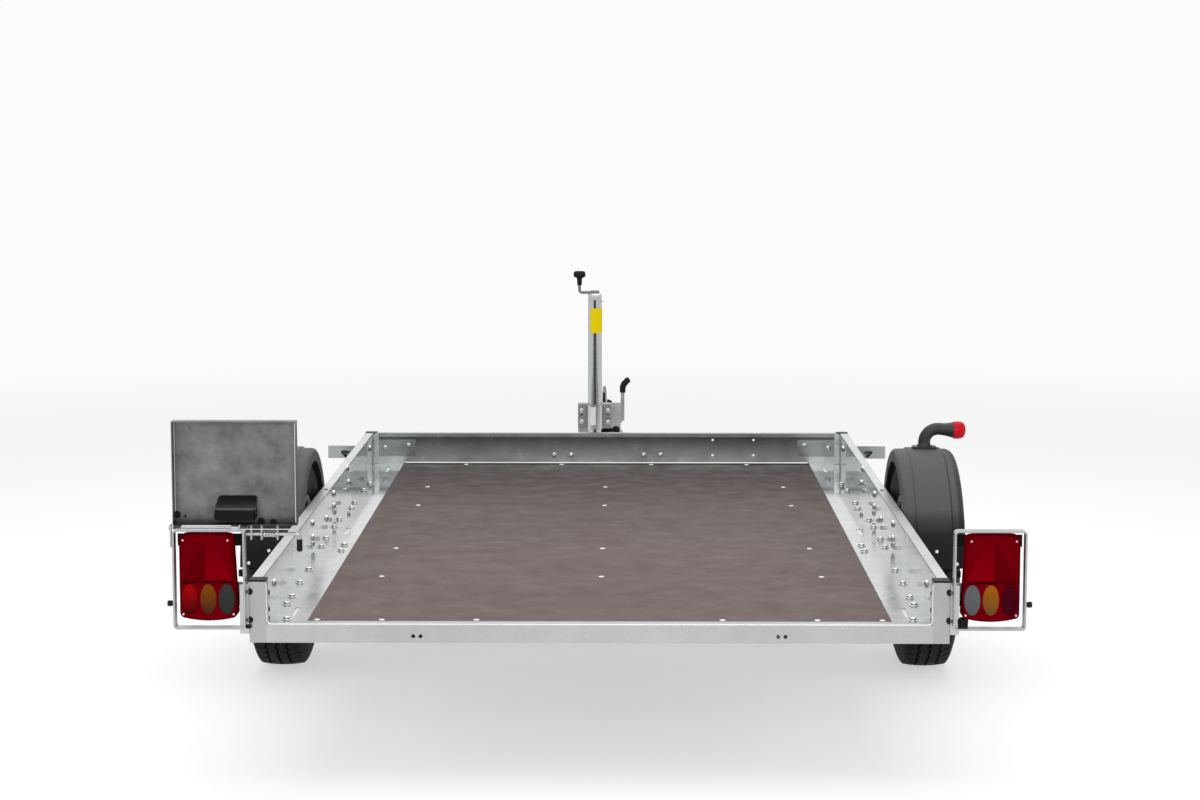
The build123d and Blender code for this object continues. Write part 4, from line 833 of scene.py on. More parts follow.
at_posts = [on_wall(way, tray_nodes, 77, height) for way in both_sides for height in (11, 49)]
at_posts += [on_front(("corner_posts",), way * 0.7745, height, -0.3) for way in both_sides
             for height in (0.0740, 0.0105)]
on_rails = [seat(("side_walls",), (way * 0.759, along(1.29), deck_z + 0.3), down) for way in both_sides]
for name, head, places, finish, slot in (
        ("strip_bolts", bolt_head, on_strips, bolt_zinc, "galvanised_steel"),
        ("front_bolts", small_head, on_front_wall, zinc_frame, "galvanised_steel"),
        ("wall_bolts", dome_head, on_walls, bolt_zinc, "galvanised_steel"),
        # The bolts at the posts are given black, as painted shade on them.
        ("dark_bolts", small_head, at_posts, black_plastic, "black_bolt"),
        ("floor_screws", floor_head, on_floor, plated, "galvanised_steel"),
        ("rail_screws", button_head, on_rails, black_plastic, "black_bolt")):
    fasten(name, head, places, finish)

# %% [markdown]
# ## Painted edge highlights, flanges and slot plates
# Where sheet is folded or cut, its edge takes the light as a thin bright line, and that highlight is
# painted as a thin bright bar: down the inner edges of the rear posts and along the sill between them,
# and where the board meets the front wall. A narrow flange stands at each front corner, and a bright
# plate lies in each lashing slot. Each is a thin round or flat bar laid on the sheet.

# %% Bright edges of the bed
sill_low, sill_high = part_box("rear_sill")
edge_x, edge_y = sill_high.x - 0.0015, sill_low.y - 0.0004
edge_foot, edge_top = deck_z + 0.0008, post_high.z - 0.004
# Thin bright bars paint the highlights on the posts' inner edges, along the sill and at the board's front edge.
path = bent([(-edge_x, edge_y, edge_top), (-edge_x, edge_y, edge_foot), (edge_x, edge_y, edge_foot),
             (edge_x, edge_y, edge_top)], 0.012, 8)
Shape().run(path, 0.0015, 8).done("rear_edge_line", plated, slot="galvanised_steel")
front_face = on_front(("front_wall",), 0, 0.02)[0].y
board_half, edge_z = 0.652, deck_z + 0.003
path = bent([(x, front_face + ahead, edge_z)
             for x, ahead in ((-board_half, 0.004), (0.004 - board_half, -0.002), (board_half - 0.004, -0.002),
                              (board_half, 0.004))], 0.003, 3)
Shape().run(path, 0.0028, 8).done("front_edge_line", bright_zinc, slot="galvanised_steel")

# %% Flanges at the front corners and inserts in the lashing slots
flange_at = on_front(tray_nodes, 0.73, 0.04)[0].y
flange_foot, flange_top = deck_z + 0.0006, wall_high.z - 0.001
outline = [(0.731, flange_foot), (0.747, flange_foot), (0.747, flange_top - 0.003), (0.744, flange_top),
           (0.734, flange_top), (0.731, flange_top - 0.003)]
flange = Shape().slab(outline, (0, flange_at - 0.0016, 0), right_x, up_z, -0.0012)
flange.mirrored().done("corner_flanges", bright_zinc, slot="galvanised_steel", bevel=0.0004)
slot_x, slot_radius, slot_reach = 0.692, 0.0041, 0.0435
outline = []
for start, end in ((0, 1), (180, -1)):
    for k in range(9):
        turn = math.radians(start + 22.5 * k)
        outline.append((slot_radius * math.cos(turn), end * slot_reach + slot_radius * math.sin(turn)))
inserts = Shape()
for station in (0.105, 1.195, 2.370):
    inserts.slab(outline, (slot_x, along(station), deck_z - 0.0026), right_x, forward, 0.0010)
inserts.mirrored().done("slot_inserts", plated, slot="galvanised_steel")

# %% [markdown]
# ## Bolts of the running gear
# Below the bed the drawbar tubes are bolted through brackets at the front wall, clamped to the axle
# by brackets with a bolt at each end, and joined by the drawbar head. All have the same nuts.

# %% Bolts of the axle and the drawbar
gear_places = []
for way in both_sides:
    low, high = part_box("drawbar_brackets")
    gear_places += [seat(("drawbar_brackets",), (way * 0.14 + reach, high.y + 0.2, high.z - drop), (0, -1, 0))
                    for reach in (-0.030, 0.030) for drop in (0.014, 0.040)]
    low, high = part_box("axle_brackets")
    gear_places += [seat(("axle_brackets",), (way * (high.x - 0.012), station, low.z - 0.1), up)
                    for station in (low.y + 0.016, high.y - 0.016)]
    low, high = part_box("drawbar_head")
    gear_places += [seat(("drawbar_head",), (way * 0.078, station, high.z + 0.1), down)
                    for station in (low.y + 0.03, high.y - 0.03)]
fasten("gear_bolts", nut_head, gear_places, zinc_frame)

# %% [markdown]
# ## Rear lamps
# Each lamp is one moulding in several colours: a flat upper field with a triangular reflector behind
# it, a ridge, and three ovals for the lights below. Four screws hold it. The light in the reflectors
# behind the ovals is painted into each oval's finish, bright at the top and dark towards the bottom,
# and the right lamp's ovals are painted with other light than the left lamp's. The triangular
# reflector is one red, painted lit on one half and in shade on the other. The CAD lens stays; ridge,
# reflector and the red oval are thin pieces standing just off it.

# %% Finishes that fade with height
def painted_light_lens(name, deep, light, low, high, right=None):
    """A lens painted with light, deep at one height and light at another, with prisms pressed in it.

    right is the pair of colours, deep and light, of the same lens in the right lamp, painted with other light.
    """
    moulding = Finish(name, deep, 0.16, Specular_IOR_Level=0.0)
    haze = calculated(moulding.tree, "MULTIPLY", moulding.noise(35), 0.5)
    height = calculated(moulding.tree, "ADD", moulding.along("Z", low, high), haze)
    share = calculated(moulding.tree, "SUBTRACT", height, 0.25)
    colour = moulding.mix("MIX", share, deep, light)
    if right:
        colour = moulding.mix("MIX", moulding.along("X", -0.1, 0.1), colour, moulding.mix("MIX", share, *right))
    moulding.set("Base Color", colour)
    moulding.bump(moulding.cells(360), 0.10, 0.0004)
    return moulding


lens_low, lens_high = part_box("red_lenses")
oval_low, oval_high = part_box("amber_lenses")
lamp_outer, lamp_rear_y = lens_high.x, lens_low.y
# Each oval's painted light: deep and light colours in the left lamp, then deep and light in the right one.
amber_oval, clear_oval, red_oval = (
    painted_light_lens(name, *left_lamp, oval_low.z, oval_high.z, right_lamp) for name, left_lamp, right_lamp in (
        ("amber_oval", ((0.060, 0.020, 0.012), (0.26, 0.070, 0.005)),
         ((0.16, 0.075, 0.022), (0.40, 0.115, 0.006))),
        ("clear_oval", ((0.030, 0.038, 0.036), (0.046, 0.046, 0.046)),
         ((0.115, 0.115, 0.125), (0.140, 0.140, 0.155))),
        ("red_oval", ((0.035, 0.004, 0.006), (0.42, 0.003, 0.004)),
         ((0.050, 0.003, 0.009), (0.075, 0.002, 0.008)))))
wear(amber_oval, "amber_lenses")
wear(clear_oval, "clear_lenses")
# The triangular reflector is one red, painted lit on one half and in shade on the other.
reflex_painted_lit = painted_light_lens("reflex_painted_lit", (0.26, 0.0, 0.006), (0.19, 0.0, 0.003), 0.46, 0.56)
reflex_painted_shade = lens("reflex_painted_shade", (0.12, 0.0, 0.003), (0.16, 0.0, 0.004))
ridge_red = lens("ridge_red", (0.030, 0.0, 0.002), (0.055, 0.0, 0.003))
print("lens finishes made")

# %% Reflector, ridge and third oval
# Each outline is in metres: in from the right lamp's outer edge, and up from its lowest edge.
painted_lit_half = ((0.058, 0.188), (0.071, 0.187), (0.118, 0.095), (0.058, 0.091))
painted_shade_half = ((0.058, 0.186), (0.058, 0.091), (0.009, 0.092))
ridge = ((0.006, 0.0845), (0.004, 0.0880), (0.030, 0.0890), (0.063, 0.0900), (0.095, 0.0890), (0.120, 0.0880),
         (0.121, 0.0845), (0.095, 0.0855), (0.063, 0.0865), (0.030, 0.0855))
for outline, depth, finish, name in ((painted_lit_half, 0.0006, reflex_painted_lit, "reflector_bright"),
                                     (painted_shade_half, 0.0005, reflex_painted_shade, "reflector_dark"),
                                     (ridge, 0.0018, ridge_red, "lamp_ridge")):
    piece = Shape().slab([(lamp_outer - inset, lens_low.z + height) for inset, height in outline],
                         (0, lamp_rear_y - depth, 0), right_x, up_z, -(depth + 0.0012))
    piece.mirrored().done(name, finish, slot="red_lens", bevel=0.0003)
lamp_inner, oval_pitch, oval_half_width = 0.798, 0.041, 0.018
oval_x, oval_z = 0.5 * (lamp_outer + lamp_inner) + oval_pitch, 0.5 * (oval_low.z + oval_high.z)
oval_half_height = 0.5 * (oval_high.z - oval_low.z)
domed = ((1.0, -0.001), (1.0, 0.0004), (0.94, 0.0018), (0.80, 0.0030), (0.5, 0.0042), (0.2, 0.0048))
rings = [[(oval_x + oval_half_width * scale * math.cos(a), lamp_rear_y - depth,
           oval_z + oval_half_height * scale * math.sin(a)) for a in turns_of(40)] for scale, depth in domed]
Shape().skin(rings).mirrored().done("red_ovals", red_oval, slot="red_lens")
screws = [seat(("red_lenses",), (way * (lamp_outer - inset), lamp_rear_y - 0.1, lens_low.z + height), forward)
          for inset, height in ((0.009, 0.1805), (0.108, 0.1805), (0.008, 0.0155), (0.119, 0.0155))
          for way in both_sides]
fasten("lamp_screws", lamp_head, screws, zinc_frame)

# %% [markdown]
# ## Cable glands, plugs and stops
# The lamp's cable comes in at the back of its inner side. Short black connectors fill the gap between
# lamp and guard. They are turned shapes with a collar at one end, as a cable gland has. A bigger plug
# stands under the right lamp and a small one beside the left post. The stop bolts that keep the lamp
# off a wall end in round rubber caps.

# %% Connectors between the lamp and its guard
gland = Shape()
for height, size in ((0.105, 0.0072), (0.098, 0.005), (0.052, 0.0062), (0.040, 0.0068), (0.033, 0.005)):
    gland.turned([(0.0, size * 0.55), (0.0, size), (0.004, size), (0.0048, size * 0.8), (0.011, size * 0.78),
                  (0.0125, size * 0.55)], (0.7855, lamp_rear_y + 0.030, lens_low.z + height), steps=14)
gland.mirrored().done("lamp_connectors", soft_rubber, slot="black_plastic")
plug = Shape().turned([(0.0, 0.0090), (0.0015, 0.0118), (0.0150, 0.0126), (0.0185, 0.0110), (0.0205, 0.0060)],
                      (0.8030, lamp_rear_y + 0.022, 0.3530), up, 24)
plug.turned([(0.0, 0.0030), (0.0012, 0.0046), (0.0110, 0.0046), (0.0130, 0.0034)],
            (-0.7830, post_low.y - 0.0052, 0.3515), steps=18)
plug.done("wiring_plugs", soft_rubber, slot="black_plastic")

# %% Rubber caps of the stop bolts
stop_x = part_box("stop_bolts")[1].x
tip = [vertex.co for vertex in nodes["stop_bolts"].data.vertices if vertex.co.x > stop_x - 0.002]
tip_y, tip_z = sum(point.y for point in tip) / len(tip), sum(point.z for point in tip) / len(tip)
caps = Shape().turned([(-0.0090, 0.0050), (-0.0080, 0.0064), (-0.0045, 0.0070), (-0.0012, 0.0056),
                       (0.0004, 0.0024)], (stop_x, tip_y, tip_z), steps=24)
caps.mirrored().done("stop_caps", soft_rubber, slot="black_plastic", crease=60)

# %% [markdown]
# ## Marker lamps
# The arm is one rubber moulding that swells from the stem to a cup for the lens. It is a pipe along a
# bent path whose radius changes on the way. The lens is red towards the back and clear towards the
# front, so its finish changes colour at the middle of the lens.

# %% Marker arms
arm_low, arm_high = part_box("marker_arms")
eye_low, eye_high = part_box("marker_lenses")
_, marker_y, arm_z = middle_of(eye_low, eye_high)
stem_x, foot_z = arm_high.x - 0.0840, arm_low.z
bend, rise, stem_radius, flare = 0.036, 0.0035, 0.0162, 0.0074
bend_z = arm_z + rise - bend
arm_path = [(stem_x, marker_y, foot_z + 0.004)]
for k in range(13):
    turn = math.radians(7.5 * k)
    arm_path.append((stem_x + bend * (1 - math.cos(turn)), marker_y, bend_z + bend * math.sin(turn)))
for gap in (0.034, 0.024, 0.017, 0.012, 0.0085, 0.0070):
    arm_path.append((arm_high.x - gap, marker_y, arm_z + rise * gap / 0.048))
arm_radii = []
for x, _, _ in arm_path:
    reach = (x - stem_x) / (arm_high.x - stem_x)
    arm_radii.append(stem_radius + flare * max(0, (reach - 0.60) / 0.40) ** 1.4)
arm_radii[-1] -= 0.0012
arm = Shape().run(arm_path, arm_radii, 28)
arm.turned([(0.0, 0.0205), (0.0035, 0.0205), (0.0075, 0.0168), (0.016, 0.0158)],
           (stem_x, marker_y, foot_z + 0.003), up, 28)
foot_half_x, foot_half_y, foot_corner = 0.032, 0.023, 0.009
for size, low, high in ((0.0, 0.0, 0.0042), (0.0025, 0.0042, 0.0052)):
    outline = []
    for corner_x, corner_y, start in ((1, 1, 0), (-1, 1, 90), (-1, -1, 180), (1, -1, 270)):
        for k in range(6):
            turn = math.radians(start + 18 * k)
            outline.append((corner_x * (foot_half_x - foot_corner) + (foot_corner - size) * math.cos(turn),
                            corner_y * (foot_half_y - foot_corner) + (foot_corner - size) * math.sin(turn)))
    arm.slab(outline, (stem_x, marker_y, foot_z + low), right_x, forward, high - low)
arm_rubber = moulded("arm_rubber", (0.020, 0.020, 0.021), 0.38, 500, 0.0003, shine=0.35)
arm.mirrored().done("marker_rubber", arm_rubber, slot="black_plastic", crease=50, replaces="marker_arms")

# %% Marker lenses
marker_red = Finish("marker_lens", (0.62, 0.006, 0.016), 0.14, Specular_IOR_Level=0.1)
front_half = marker_red.ramp(marker_red.along("Y", marker_y - 0.004, marker_y + 0.0043), (0.3, 0.0), (0.7, 1.0))
marker_red.set("Base Color", marker_red.mix("MIX", front_half, (0.62, 0.006, 0.016), (0.62, 0.62, 0.60)))
marker_red.bump(marker_red.cells(420), 0.18, 0.0005)
end = eye_high.x - arm_high.x
dome = Shape().turned([(-0.0076, 0.0218), (-0.0070, 0.0232), (0.0030, 0.0238), (end * 0.45, 0.0232),
                       (end * 0.72, 0.0206), (end * 0.90, 0.0152), (end * 0.98, 0.0090), (end, 0.0030)],
                      (arm_high.x, marker_y, arm_z), steps=40)
dome.mirrored().done("marker_domes", marker_red, slot="red_lens", crease=60, replaces="marker_lenses")

# %% [markdown]
# ## Bolts of the mudguards
# Two bright bolts go through each mudguard's rear face into its bracket, and two more hold the guard
# to the wall of the bed.

# %% Mudguard bolts
guard_bolts = []
for way in both_sides:
    guard_bolts += [seat(("mudguards",), (way * x, along(0.2), z), forward)
                    for x, z in ((0.860, 0.358), (0.912, 0.326))]
    guard_bolts += [seat(("mudguards",), (way * 0.70, along(station), deck_z + 0.057), (way, 0, 0))
                    for station in (0.93, 1.42)]
fasten("mudguard_bolts", button_head, guard_bolts, plated)

# %% [markdown]
# ## Number plate tray
# The tray is bolted to its hinge from inside, and its lamp is a small black box with a sloping top
# and a rounded end, whose black is painted with a highlight a little below half its height. Where
# the rim's edges catch the light, a thin bright bead along each edge paints the highlight, which
# looks better than a brighter finish over all of it.

# %% Tray lamp
box_low, box_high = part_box("plate_lamp")
size = box_high - box_low
profile = ((0.0, 0.08), (0.0, 0.47), (0.05, 0.56), (0.24, 0.68), (1.0, 1.0), (1.0, 0.0), (0.16, 0.0),
           (0.04, 0.02))
middle_z = box_low.z + size.z * 0.42
rings = []
for share, shrink in ((0.0, 0.55), (0.015, 0.78), (0.05, 0.92), (0.12, 0.99), (0.2, 1.0), (0.93, 1.0),
                      (0.975, 0.97), (1.0, 0.90)):
    x, slant = box_low.x + size.x * share, 0.05 * size.x * max(0, 1 - share / 0.2)
    rings.append([(x + slant * b, box_high.y - size.y * (1 - a) * shrink,
                   middle_z + (box_low.z + size.z * b - middle_z) * shrink) for a, b in profile])
hood_black = moulded("hood_black", (0.008, 0.008, 0.009), 0.4, 900, 0.0002)
# Painted highlight: a bright line across the hood a little below half its height, fading towards its top.
painted_ridge_highlight = hood_black.ramp(hood_black.along("Z", box_low.z, box_high.z), (0.0, 0.007), (0.47, 0.006),
                         (0.52, 0.16), (0.55, 0.05), (0.70, 0.022), (0.85, 0.012), (1.0, 0.008))
hood_black.set("Base Color", painted_ridge_highlight)
Shape().skin(rings).done("plate_lamp_hood", hood_black, "plate_holder", "black_plastic", bevel=0.0016,
                         replaces="plate_lamp")
left, right, foot = box_low.x + 0.014, box_high.x - 0.010, box_low.z + 0.0005
# The window takes the rear lamps' clear lens finish, with its painted light.
window = Shape().slab([(left, foot), (right, foot), (right, foot + 0.0065), (left, foot + 0.0065)],
                      (0, box_low.y + 0.0072, 0), right_x, up_z, 0.004)
window.done("plate_lamp_window", clear_oval, "plate_holder", "clear_lens", bevel=0.0006)

# %% Bolts and bright edges of the tray
for name, head, places in (
        ("tray_bolts", small_head, ((-0.9310, 0.6012), (-0.7456, 0.5868), (-0.7190, 0.5835))),
        ("tray_screw", lamp_head, ((-0.9135, 0.5975),))):
    fasten(name, head, [(Vector((x, plate_high.y - 0.002, z)), Vector((0, -1, 0))) for x, z in places],
           black_plastic, "plate_holder")
# Thin bright beads paint the highlights where the rim's edges catch the light.
bead, dip = Shape(), 0.002
foot, crown_z = plate_low.z + 0.016, plate_high.z - 0.003
for x, y, thick in ((plate_low.x + 0.0018, plate_high.y - 0.0024, 0.0011),
                    (plate_high.x - 0.0008, plate_low.y + 0.0015, 0.0010)):
    bead.run(bent([(x, y + dip, foot), (x, y, foot + 0.004), (x, y, crown_z - 0.003), (x, y + dip, crown_z)],
                  0.003, 3), thick, 8)
left, right, y, z = plate_low.x + 0.004, plate_high.x - 0.004, plate_low.y + 0.0014, plate_low.z + 0.0013
bead.run(bent([(left, y + dip, z), (left + 0.004, y, z), (right - 0.004, y, z), (right, y + dip, z)],
              0.003, 3), 0.0012, 8)
bead.done("tray_edge_lines", bright_zinc, "plate_holder", "plate_tray")

# %% [markdown]
# ## Latch spring and sleeve
# The tray's latch is a rod in three lugs, pushed shut by a coil spring, with a soft black sleeve over
# its bent end for the fingers. A spring is a thin wire along a helix.

# %% Latch
sleeve_low, sleeve_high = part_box("latch_sleeve")
sleeve_x, sleeve_y, _ = middle_of(sleeve_low, sleeve_high)
half, tall = 0.5 * (sleeve_high.x - sleeve_low.x), sleeve_high.z - sleeve_low.z
sleeve = Shape().turned([(0.0, half * 0.55), (0.001, half * 0.85), (0.003, half), (0.012, half),
                         (0.0135, half * 0.9), (0.015, half), (tall - 0.002, half), (tall, half * 0.86)],
                        (sleeve_x, sleeve_y, sleeve_low.z), up, 24)
sleeve.done("latch_grip", soft_rubber, "plate_holder", "black_plastic", replaces="latch_sleeve")
coil_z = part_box("lamp_guards")[1].z - 0.012
coils, coil_steps, coil_from, coil_to, coil_radius = 9, 14, -0.741, -0.712, 0.0058
helix = []
for k in range(coils * coil_steps + 1):
    turn = 2 * math.pi * k / coil_steps
    helix.append((coil_from + (coil_to - coil_from) * k / (coils * coil_steps),
                  sleeve_y + coil_radius * math.cos(turn), coil_z + coil_radius * math.sin(turn)))
Shape().run(helix, 0.0009, 6).done("latch_spring", bright_zinc, "plate_holder", "lamp_guard")

# %% [markdown]
# ## Jack tube, its labels and its cap
# The outer tube is drawn steel with a keyway up its back, whose shade is painted as a thin dark
# strip. Two blank labels are stuck on it: a yellow one under the top and a white one on the clamp. A
# label is a thin patch wrapped on the tube, so it needs the tube's own radius and an angle to begin
# and end. The clamp's half shell has the tube's finish, and is wrapped in the same way.

# %% Labels and keyway
tube_low, tube_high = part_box("jack_tube")
clamp_low, clamp_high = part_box("jack_clamp")
tube_x, tube_y, _ = middle_of(tube_low, tube_high)
tube_radius = 0.5 * (tube_high.x - tube_low.x)
yellow_label = moulded("yellow_label", (1.0, 0.77, 0.002), 0.40, 60, 0.0004, scuff=0.0, shine=0.0)
white_label = moulded("white_label", (0.84, 0.84, 0.79), 0.40, 60, 0.0003, scuff=0.04)
keyway_painted_shade = moulded("keyway_painted_shade", (0.060, 0.062, 0.066), 0.45, 500, 0.0001)


def wrapped(name, lift, turn_from, turn_to, low, high, finish, thick, parts=14):
    """A thin patch on the back of the jack tube, between two angles and two heights."""
    near, far = tube_radius + lift, tube_radius + lift + thick
    columns = []
    for k in range(parts + 1):
        turn = math.radians(turn_from + (turn_to - turn_from) * k / parts)
        columns.append([(tube_x + radius * math.sin(turn), tube_y - radius * math.cos(turn), z)
                        for radius, z in ((near, low), (near, high), (far, high), (far, low))])
    Shape().skin(columns).done(name, finish, slot="zinc_steel")


wrapped("jack_label_yellow", 0.0001, -40, 87, 0.7370, 0.8205, yellow_label, 0.0004)
wrapped("jack_tube_face", 0.0053, -86, 86, clamp_low.z + 0.0005, clamp_high.z - 0.0005, tube_zinc, 0.0003, 30)
wrapped("jack_label_white", 0.0057, -36, 5, 0.4250, 0.4860, white_label, 0.0004)
# The keyway's shade is painted as a thin dark strip on the tube's back.
key_half, key_low, key_high = 0.0046, tube_low.z + 0.0005, tube_high.z - 0.0190
keyway = Shape().slab([(-key_half, key_low), (key_half, key_low), (key_half, key_high), (-key_half, key_high)],
                      (tube_x, tube_y - tube_radius + 0.0012, 0), right_x, up_z, -0.0006)
keyway.done("jack_keyway", keyway_painted_shade, slot="zinc_steel")

# %% Cap, pins and the small screw of the jack
top = Shape().turned([(far, tube_radius + grow) for far, grow in (
    (-0.006, -0.001), (-0.006, 0.0006), (-0.001, 0.0005), (0.0012, -0.0016), (0.0034, -0.006),
    (0.0042, -0.0084), (0.0, -0.0084))], (tube_x, tube_y, tube_high.z), up, 40, loop=True)
pin_tall = 0.0155
for offset, size in ((-0.004, 0.0024), (0.0095, 0.0030)):
    top.turned([(0.001, size), (pin_tall - 0.001, size), (pin_tall, size * 0.7)],
               (tube_x + offset, tube_y - 0.006, tube_high.z), up, 12)
top.turned([(-0.002, 0.0042), (0.0028, 0.0042), (0.0030, 0.0024), (0.0078, 0.0022), (0.0084, 0.0014)],
           (tube_x + tube_radius, tube_y, tube_high.z - 0.022), steps=12)
top.done("jack_cap", bright_zinc, slot="zinc_steel")

# %% [markdown]
# ## Crank knob and brake grip
# Both are soft plastic. The knob is a flat paddle on a short stem, made of rounded rectangles stacked
# upward. The brake grip is a pipe that swells between the fingers.

# %% Knob
knob_low, knob_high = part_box("crank_knob")
knob_x, knob_y, _ = middle_of(knob_low, knob_high)
tall, wide = knob_high.z - knob_low.z, 0.5 * (knob_high.x - knob_low.x)


def squared(value, power):
    """A sine or cosine drawn towards 1 or -1, which turns a circle into a rounded square."""
    return math.copysign(abs(value) ** (2 / power), value)


# Each row: height as a share, half width, half depth, and how square the ring is.
knob_rows = ((0.0, 0.0066, 0.0066, 2), (0.02, 0.0078, 0.0078, 2), (0.30, 0.0084, 0.0082, 2),
             (0.50, 0.0094, 0.0086, 2.2), (0.545, 0.0125, 0.0095, 2.6), (0.575, 0.0180, 0.0108, 3),
             (0.62, wide - 0.0012, 0.0116, 3.4), (0.68, wide, 0.0120, 3.6), (0.86, wide - 0.0008, 0.0120, 3.6),
             (0.95, wide - 0.0025, 0.0108, 3.4), (0.99, wide - 0.0060, 0.0080, 3),
             (1.0, wide - 0.0095, 0.0050, 3))
knob = Shape().skin([
    [(knob_x + half_x * squared(math.cos(a), power), knob_y + half_y * squared(math.sin(a), power),
      knob_low.z + tall * share) for a in turns_of(32)] for share, half_x, half_y, power in knob_rows])
knob.done("crank_grip", black_plastic, slot="black_plastic", crease=60, replaces="crank_knob")

# %% Brake grip
grip_low, grip_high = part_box("brake_grip")
grip_x, grip_y = middle_of(*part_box("brake_lever"))[0], middle_of(grip_low, grip_high)[1]
grip_radius = 0.62 * (grip_high.y - grip_low.y)
bend_z, end_z = grip_high.z - 2.1 * grip_radius, grip_high.z - 0.4 * grip_radius
grip_line = bent([(grip_x, grip_y, grip_low.z), (grip_x + 0.001, grip_y, bend_z), (grip_high.x, grip_y, end_z)],
                 0.022, 12)
grip_sizes = []
for k in range(len(grip_line)):
    share = k / (len(grip_line) - 1)
    swell = 0.95 + 0.05 * math.cos(share * 7 * 2 * math.pi)
    grip_sizes.append(grip_radius * swell * (0.90 if share < 0.04 else 1.0))
grip_line[-1:] = [Vector((grip_high.x - d, grip_y, end_z - 0.6 * d)) for d in (0.008, 0.0016, 0.0)]
grip_sizes[-1:] = [grip_radius * share for share in (0.97, 0.82, 0.45)]
grip = Shape().run(grip_line, grip_sizes, 24)
grip.done("brake_hand_grip", soft_rubber, slot="black_plastic", crease=60, replaces="brake_grip")

# %% [markdown]
# ## Overrun device
# Behind the coupling a rubber bellows keeps the sliding tube clean. Its folds are soft waves, not
# points, so its profile is turned from a wave.

# %% Bellows
bellows_low, bellows_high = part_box("gaiter")
outer, inner, folds, steps = 0.5 * (bellows_high.x - bellows_low.x), 0.0285, 8, 8
length = bellows_high.y - bellows_low.y
bellows_middle = (0, bellows_low.y, middle_of(bellows_low, bellows_high)[2])
outside = []
for k in range(folds * steps + 1):
    share = k / (folds * steps)
    wave = abs(math.sin(share * folds * math.pi)) ** 0.7
    radius = (inner + (outer - inner) * wave) * (1 - 0.06 * share) if 0 < share < 1 else inner
    outside.append((share * length, radius))
inside = [(far, radius - 0.0018) for far, radius in reversed(outside)]
bellows = Shape().turned(outside + inside, bellows_middle, forward, 44, loop=True)
for far in (0.0, length - 0.008):
    bellows.turned([(far, 0.0292), (far, 0.0308), (far + 0.008, 0.0308), (far + 0.008, 0.0292)],
                   bellows_middle, forward, 44, loop=True)
bellows.done("bellows", soft_rubber, slot="black_plastic", crease=70, replaces="gaiter")

# %% Bolts of the overrun device and the jack clamp
housing_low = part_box("overrun_housing")[0]
head_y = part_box("drawbar_head")[0].y
on_housing = [seat(("overrun_housing",), (way * 0.12, housing_low.y + station, housing_low.z + height),
                   (-way, 0, 0)) for way in both_sides
              for station, height in ((0.045, 0.030), (0.045, 0.110), (0.150, 0.030), (0.235, 0.060))]
on_housing += [seat(("coupling_head",), (0.12, bellows_high.y + 0.014 + far, bellows_middle[2]), (-1, 0, 0))
               for far in (0.03, 0.08)]
on_clamp = [seat(("jack_clamp", "drawbar_head"), (tube_x + offset, clamp_low.y - 0.1, z), forward)
            for offset, z in ((-0.0450, 0.4715), (-0.0450, 0.4340), (0.0440, 0.4715), (0.0440, 0.4325))]
under_clamp = [seat(("drawbar_head",), (x, head_y - 0.3, z), forward)
               for x, z in ((-0.014, 0.400), (0.003, 0.399), (0.029, 0.400))]
fasten("drawbar_head_nuts", nut_head, under_clamp, black_plastic)
fasten("overrun_bolts", bolt_head, on_housing, zinc_frame)
fasten("clamp_nuts", small_head, on_clamp, zinc_frame)

# %% [markdown]
# ## Coupling handle
# The handle is a strap of sheet that lies along the coupling and turns up steeply at its end. A soft
# black pad is glued into the hollow of its back, and a black lock for the thumb stands beside it. The
# strap follows a line in the YZ plane; its thickness is set off square to that line.

# %% Coupling handle
hand_low, hand_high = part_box("coupling_handle")
hand_x, hand_half = middle_of(hand_low, hand_high)[0], 0.5 * (hand_high.x - hand_low.x)
hand_line = bent([(0, hand_high.y, hand_low.z + 0.0022), (0, hand_high.y - 0.045, hand_low.z + 0.0060),
                  (0, hand_low.y + 0.026, hand_low.z + 0.0180), (0, hand_low.y + 0.0100, hand_low.z + 0.0480),
                  (0, hand_low.y + 0.0022, hand_high.z - 0.0010)], 0.030, 8)


def strap(line, middle_x, half, thick, lift=0.0):
    """A flat bar along a line in the YZ plane, narrower at its ends."""
    section = ((1, -0.3), (1, 0.3), (0.85, 0.5), (-0.85, 0.5), (-1, 0.3), (-1, -0.3), (-0.85, -0.5),
               (0.85, -0.5))
    rows = []
    for k, point in enumerate(line):
        ahead = (line[min(k + 1, len(line) - 1)] - line[max(k - 1, 0)]).normalized()
        square = Vector((0, -ahead.z, ahead.y))
        end = min(k, len(line) - 1 - k)
        wide = half * (0.72 if end == 0 else 0.93 if end == 1 else 1.0)
        middle = Vector((middle_x, 0, 0)) + point - square * lift
        rows.append([middle + right_x * wide * a + square * thick * b for a, b in section])
    return Shape().skin(rows)


strap(hand_line, hand_x, hand_half, 0.0036).done("coupling_hand_lever", cast_grey, slot="casting", crease=50,
                                                 replaces="coupling_handle")
pad_line = [point for point in hand_line if hand_low.z + 0.020 < point.z < hand_high.z - 0.010]
pad = strap(pad_line, hand_x - 0.0022, hand_half - 0.0042, 0.0016, -0.0026)
pad.done("coupling_hand_pad", soft_rubber, slot="black_plastic", crease=50)
lock = Shape().slab([(-0.0050, hand_low.z), (0.0130, hand_low.z), (0.0136, 0.4225), (0.0112, 0.4262),
                     (0.0050, 0.4292), (-0.0010, 0.4308), (-0.0050, 0.4312)],
                    (0, hand_low.y + 0.022, 0), right_x, up_z, -0.026)
lock.done("coupling_lock", soft_rubber, slot="black_plastic", crease=50, bevel=0.002)

# %% [markdown]
# ## Jockey wheel
# A solid rubber tyre is moulded on a pressed rim. Both are turned, with a bearing tube through the
# middle and a nut on each end of the pin.

